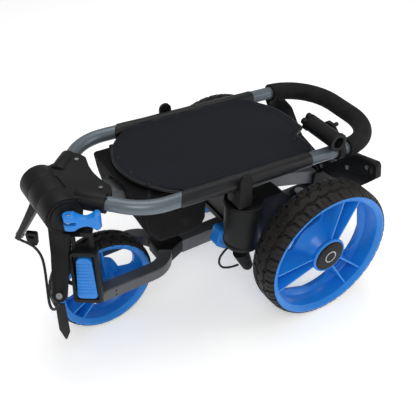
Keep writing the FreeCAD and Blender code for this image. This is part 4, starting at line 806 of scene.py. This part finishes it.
def make_stage():
    """Pale floor, soft light all round, three large lamps and the camera."""
    bpy.ops.mesh.primitive_plane_add(size=14, location=(0, 0, -0.0004))
    floor = bpy.context.object
    floor.name = "pale_floor"
    material, _, surface = start_material("pale_floor_paint")
    surface.inputs["Base Color"].default_value = (0.90, 0.90, 0.90, 1)
    surface.inputs["Roughness"].default_value = 0.7
    surface.inputs["Emission Color"].default_value = (1.0, 1.0, 1.0, 1)
    surface.inputs["Emission Strength"].default_value = 0.42
    floor.data.materials.append(material)
    bpy.context.scene.view_settings.view_transform = "Standard"
    world = bpy.data.worlds.new("studio")
    bpy.context.scene.world = world
    world.use_nodes = True
    sky = world.node_tree.nodes["Background"]
    sky.inputs["Color"].default_value = (1.0, 1.0, 1.0, 1)
    seen = add(world.node_tree, "ShaderNodeLightPath").outputs["Is Camera Ray"]
    backdrop = maths(world.node_tree, "ADD", maths(world.node_tree, "MULTIPLY", seen, 0.56), 0.34)
    world.node_tree.links.new(backdrop, sky.inputs["Strength"])
    lamps = (("key", (-0.9, -1.5, 1.9), 19.0, 1.1), ("top", (0.3, 0.5, 2.2), 17.0, 1.5),
             ("side", (1.8, -1.1, 0.9), 9.0, 0.9))
    for name, place, power, width in lamps:
        lamp = bpy.data.lights.new(name, "AREA")
        lamp.energy = power
        lamp.size = width
        obj = link(bpy.data.objects.new(name, lamp))
        obj.location = place
        obj.rotation_euler = (Vector((0, 0, 0.18)) - Vector(place)).to_track_quat("-Z", "Y").to_euler()
    camera = bpy.data.cameras.new("camera")
    camera.lens = 63.1
    camera.sensor_width = 36
    camera.clip_start = 0.01
    right = Vector((0.8461, -0.5330, 0.0)).normalized()
    ahead = Vector((0.4167, 0.6614, -0.6235)).normalized()
    up = right.cross(ahead).normalized()
    right = ahead.cross(up)
    turn = Matrix((right, up, -ahead)).transposed()
    holder = link(bpy.data.objects.new("camera", camera))
    holder.matrix_world = Matrix.Translation((-0.5909, -0.9532, 1.0679)) @ turn.to_4x4()
    bpy.context.scene.camera = holder


# ---------------------------------------------------------------- add-on


class CartColours(bpy.types.PropertyGroup):
    """Colours of the cart."""

    tube_colour: bpy.props.FloatVectorProperty(
        name="Tube colour", description="Paint of the handle loop and fork", subtype="COLOR", size=3,
        default=(0.118, 0.146, 0.170), min=0, max=1)
    wheel_colour: bpy.props.FloatVectorProperty(
        name="Wheel colour", description="Plastic of the rims and levers", subtype="COLOR", size=3,
        default=(0.012, 0.225, 0.720), min=0, max=1)


class CART_OT_finishes(bpy.types.Operator):
    """Make the finishes"""

    bl_idname = "cart.finishes"
    bl_label = "Finishes"

    def execute(self, context):
        make_finishes(context.scene.cart_colours)
        return {"FINISHED"}


class CART_OT_stage(bpy.types.Operator):
    """Make the floor, lights and camera"""

    bl_idname = "cart.stage"
    bl_label = "Stage"

    def execute(self, context):
        make_stage()
        return {"FINISHED"}


class CART_OT_cords(bpy.types.Operator):
    """Make the elastic cord"""

    bl_idname = "cart.cords"
    bl_label = "Cords"

    def execute(self, context):
        make_bungee()
        return {"FINISHED"}


class CART_OT_wheels(bpy.types.Operator):
    """Make the tyres, rims and hubs"""

    bl_idname = "cart.wheels"
    bl_label = "Wheels"

    def execute(self, context):
        make_wheels()
        return {"FINISHED"}


class CART_OT_cloth(bpy.types.Operator):
    """Make the fabric panel, its sleeves and the net pouch"""

    bl_idname = "cart.cloth"
    bl_label = "Panel and pouch"

    def execute(self, context):
        panel = make_panel()
        make_piping()
        make_sleeves()
        make_snaps()
        make_pouch()
        return {"FINISHED"}


class CART_OT_grip(bpy.types.Operator):
    """Make the foam grip"""

    bl_idname = "cart.grip"
    bl_label = "Foam grip"

    def execute(self, context):
        make_grip()
        return {"FINISHED"}


class CART_OT_mouldings(bpy.types.Operator):
    """Finish the plastic mouldings, levers, tubes and hardware"""

    bl_idname = "cart.mouldings"
    bl_label = "Mouldings"

    def execute(self, context):
        make_mouldings(ROUNDED)
        make_trims()
        for node, obj in NODES.items():
            if not obj.hide_render:
                dress(obj, SLOT_OF[node])
                obj.data.shade_smooth()
                obj.data.set_sharp_from_angle(angle=math.radians(35))
        return {"FINISHED"}


STEPS = (CART_OT_finishes, CART_OT_stage, CART_OT_cords, CART_OT_wheels, CART_OT_cloth, CART_OT_grip,
         CART_OT_mouldings)


class CART_PT_panel(bpy.types.Panel):
    """Steps and colours of the cart"""

    bl_idname = "CART_PT_panel"
    bl_label = "Push cart"
    bl_space_type = "VIEW_3D"
    bl_region_type = "UI"
    bl_category = "Push cart"

    def draw(self, context):
        for name in ("tube_colour", "wheel_colour"):
            self.layout.prop(context.scene.cart_colours, name)
        for operator in STEPS:
            self.layout.operator(operator.bl_idname)


CLASSES = (CartColours, *STEPS, CART_PT_panel)


def register():
    for item in CLASSES:
        bpy.utils.register_class(item)
    bpy.types.Scene.cart_colours = bpy.props.PointerProperty(type=CartColours)


def unregister():
    del bpy.types.Scene.cart_colours
    for item in reversed(CLASSES):
        bpy.utils.unregister_class(item)


def main():
    """Build every piece in order."""
    register()
    for operator in STEPS:
        group, name = operator.bl_idname.split(".")
        getattr(getattr(bpy.ops, group), name)()


if __name__ == "__main__":
    main()
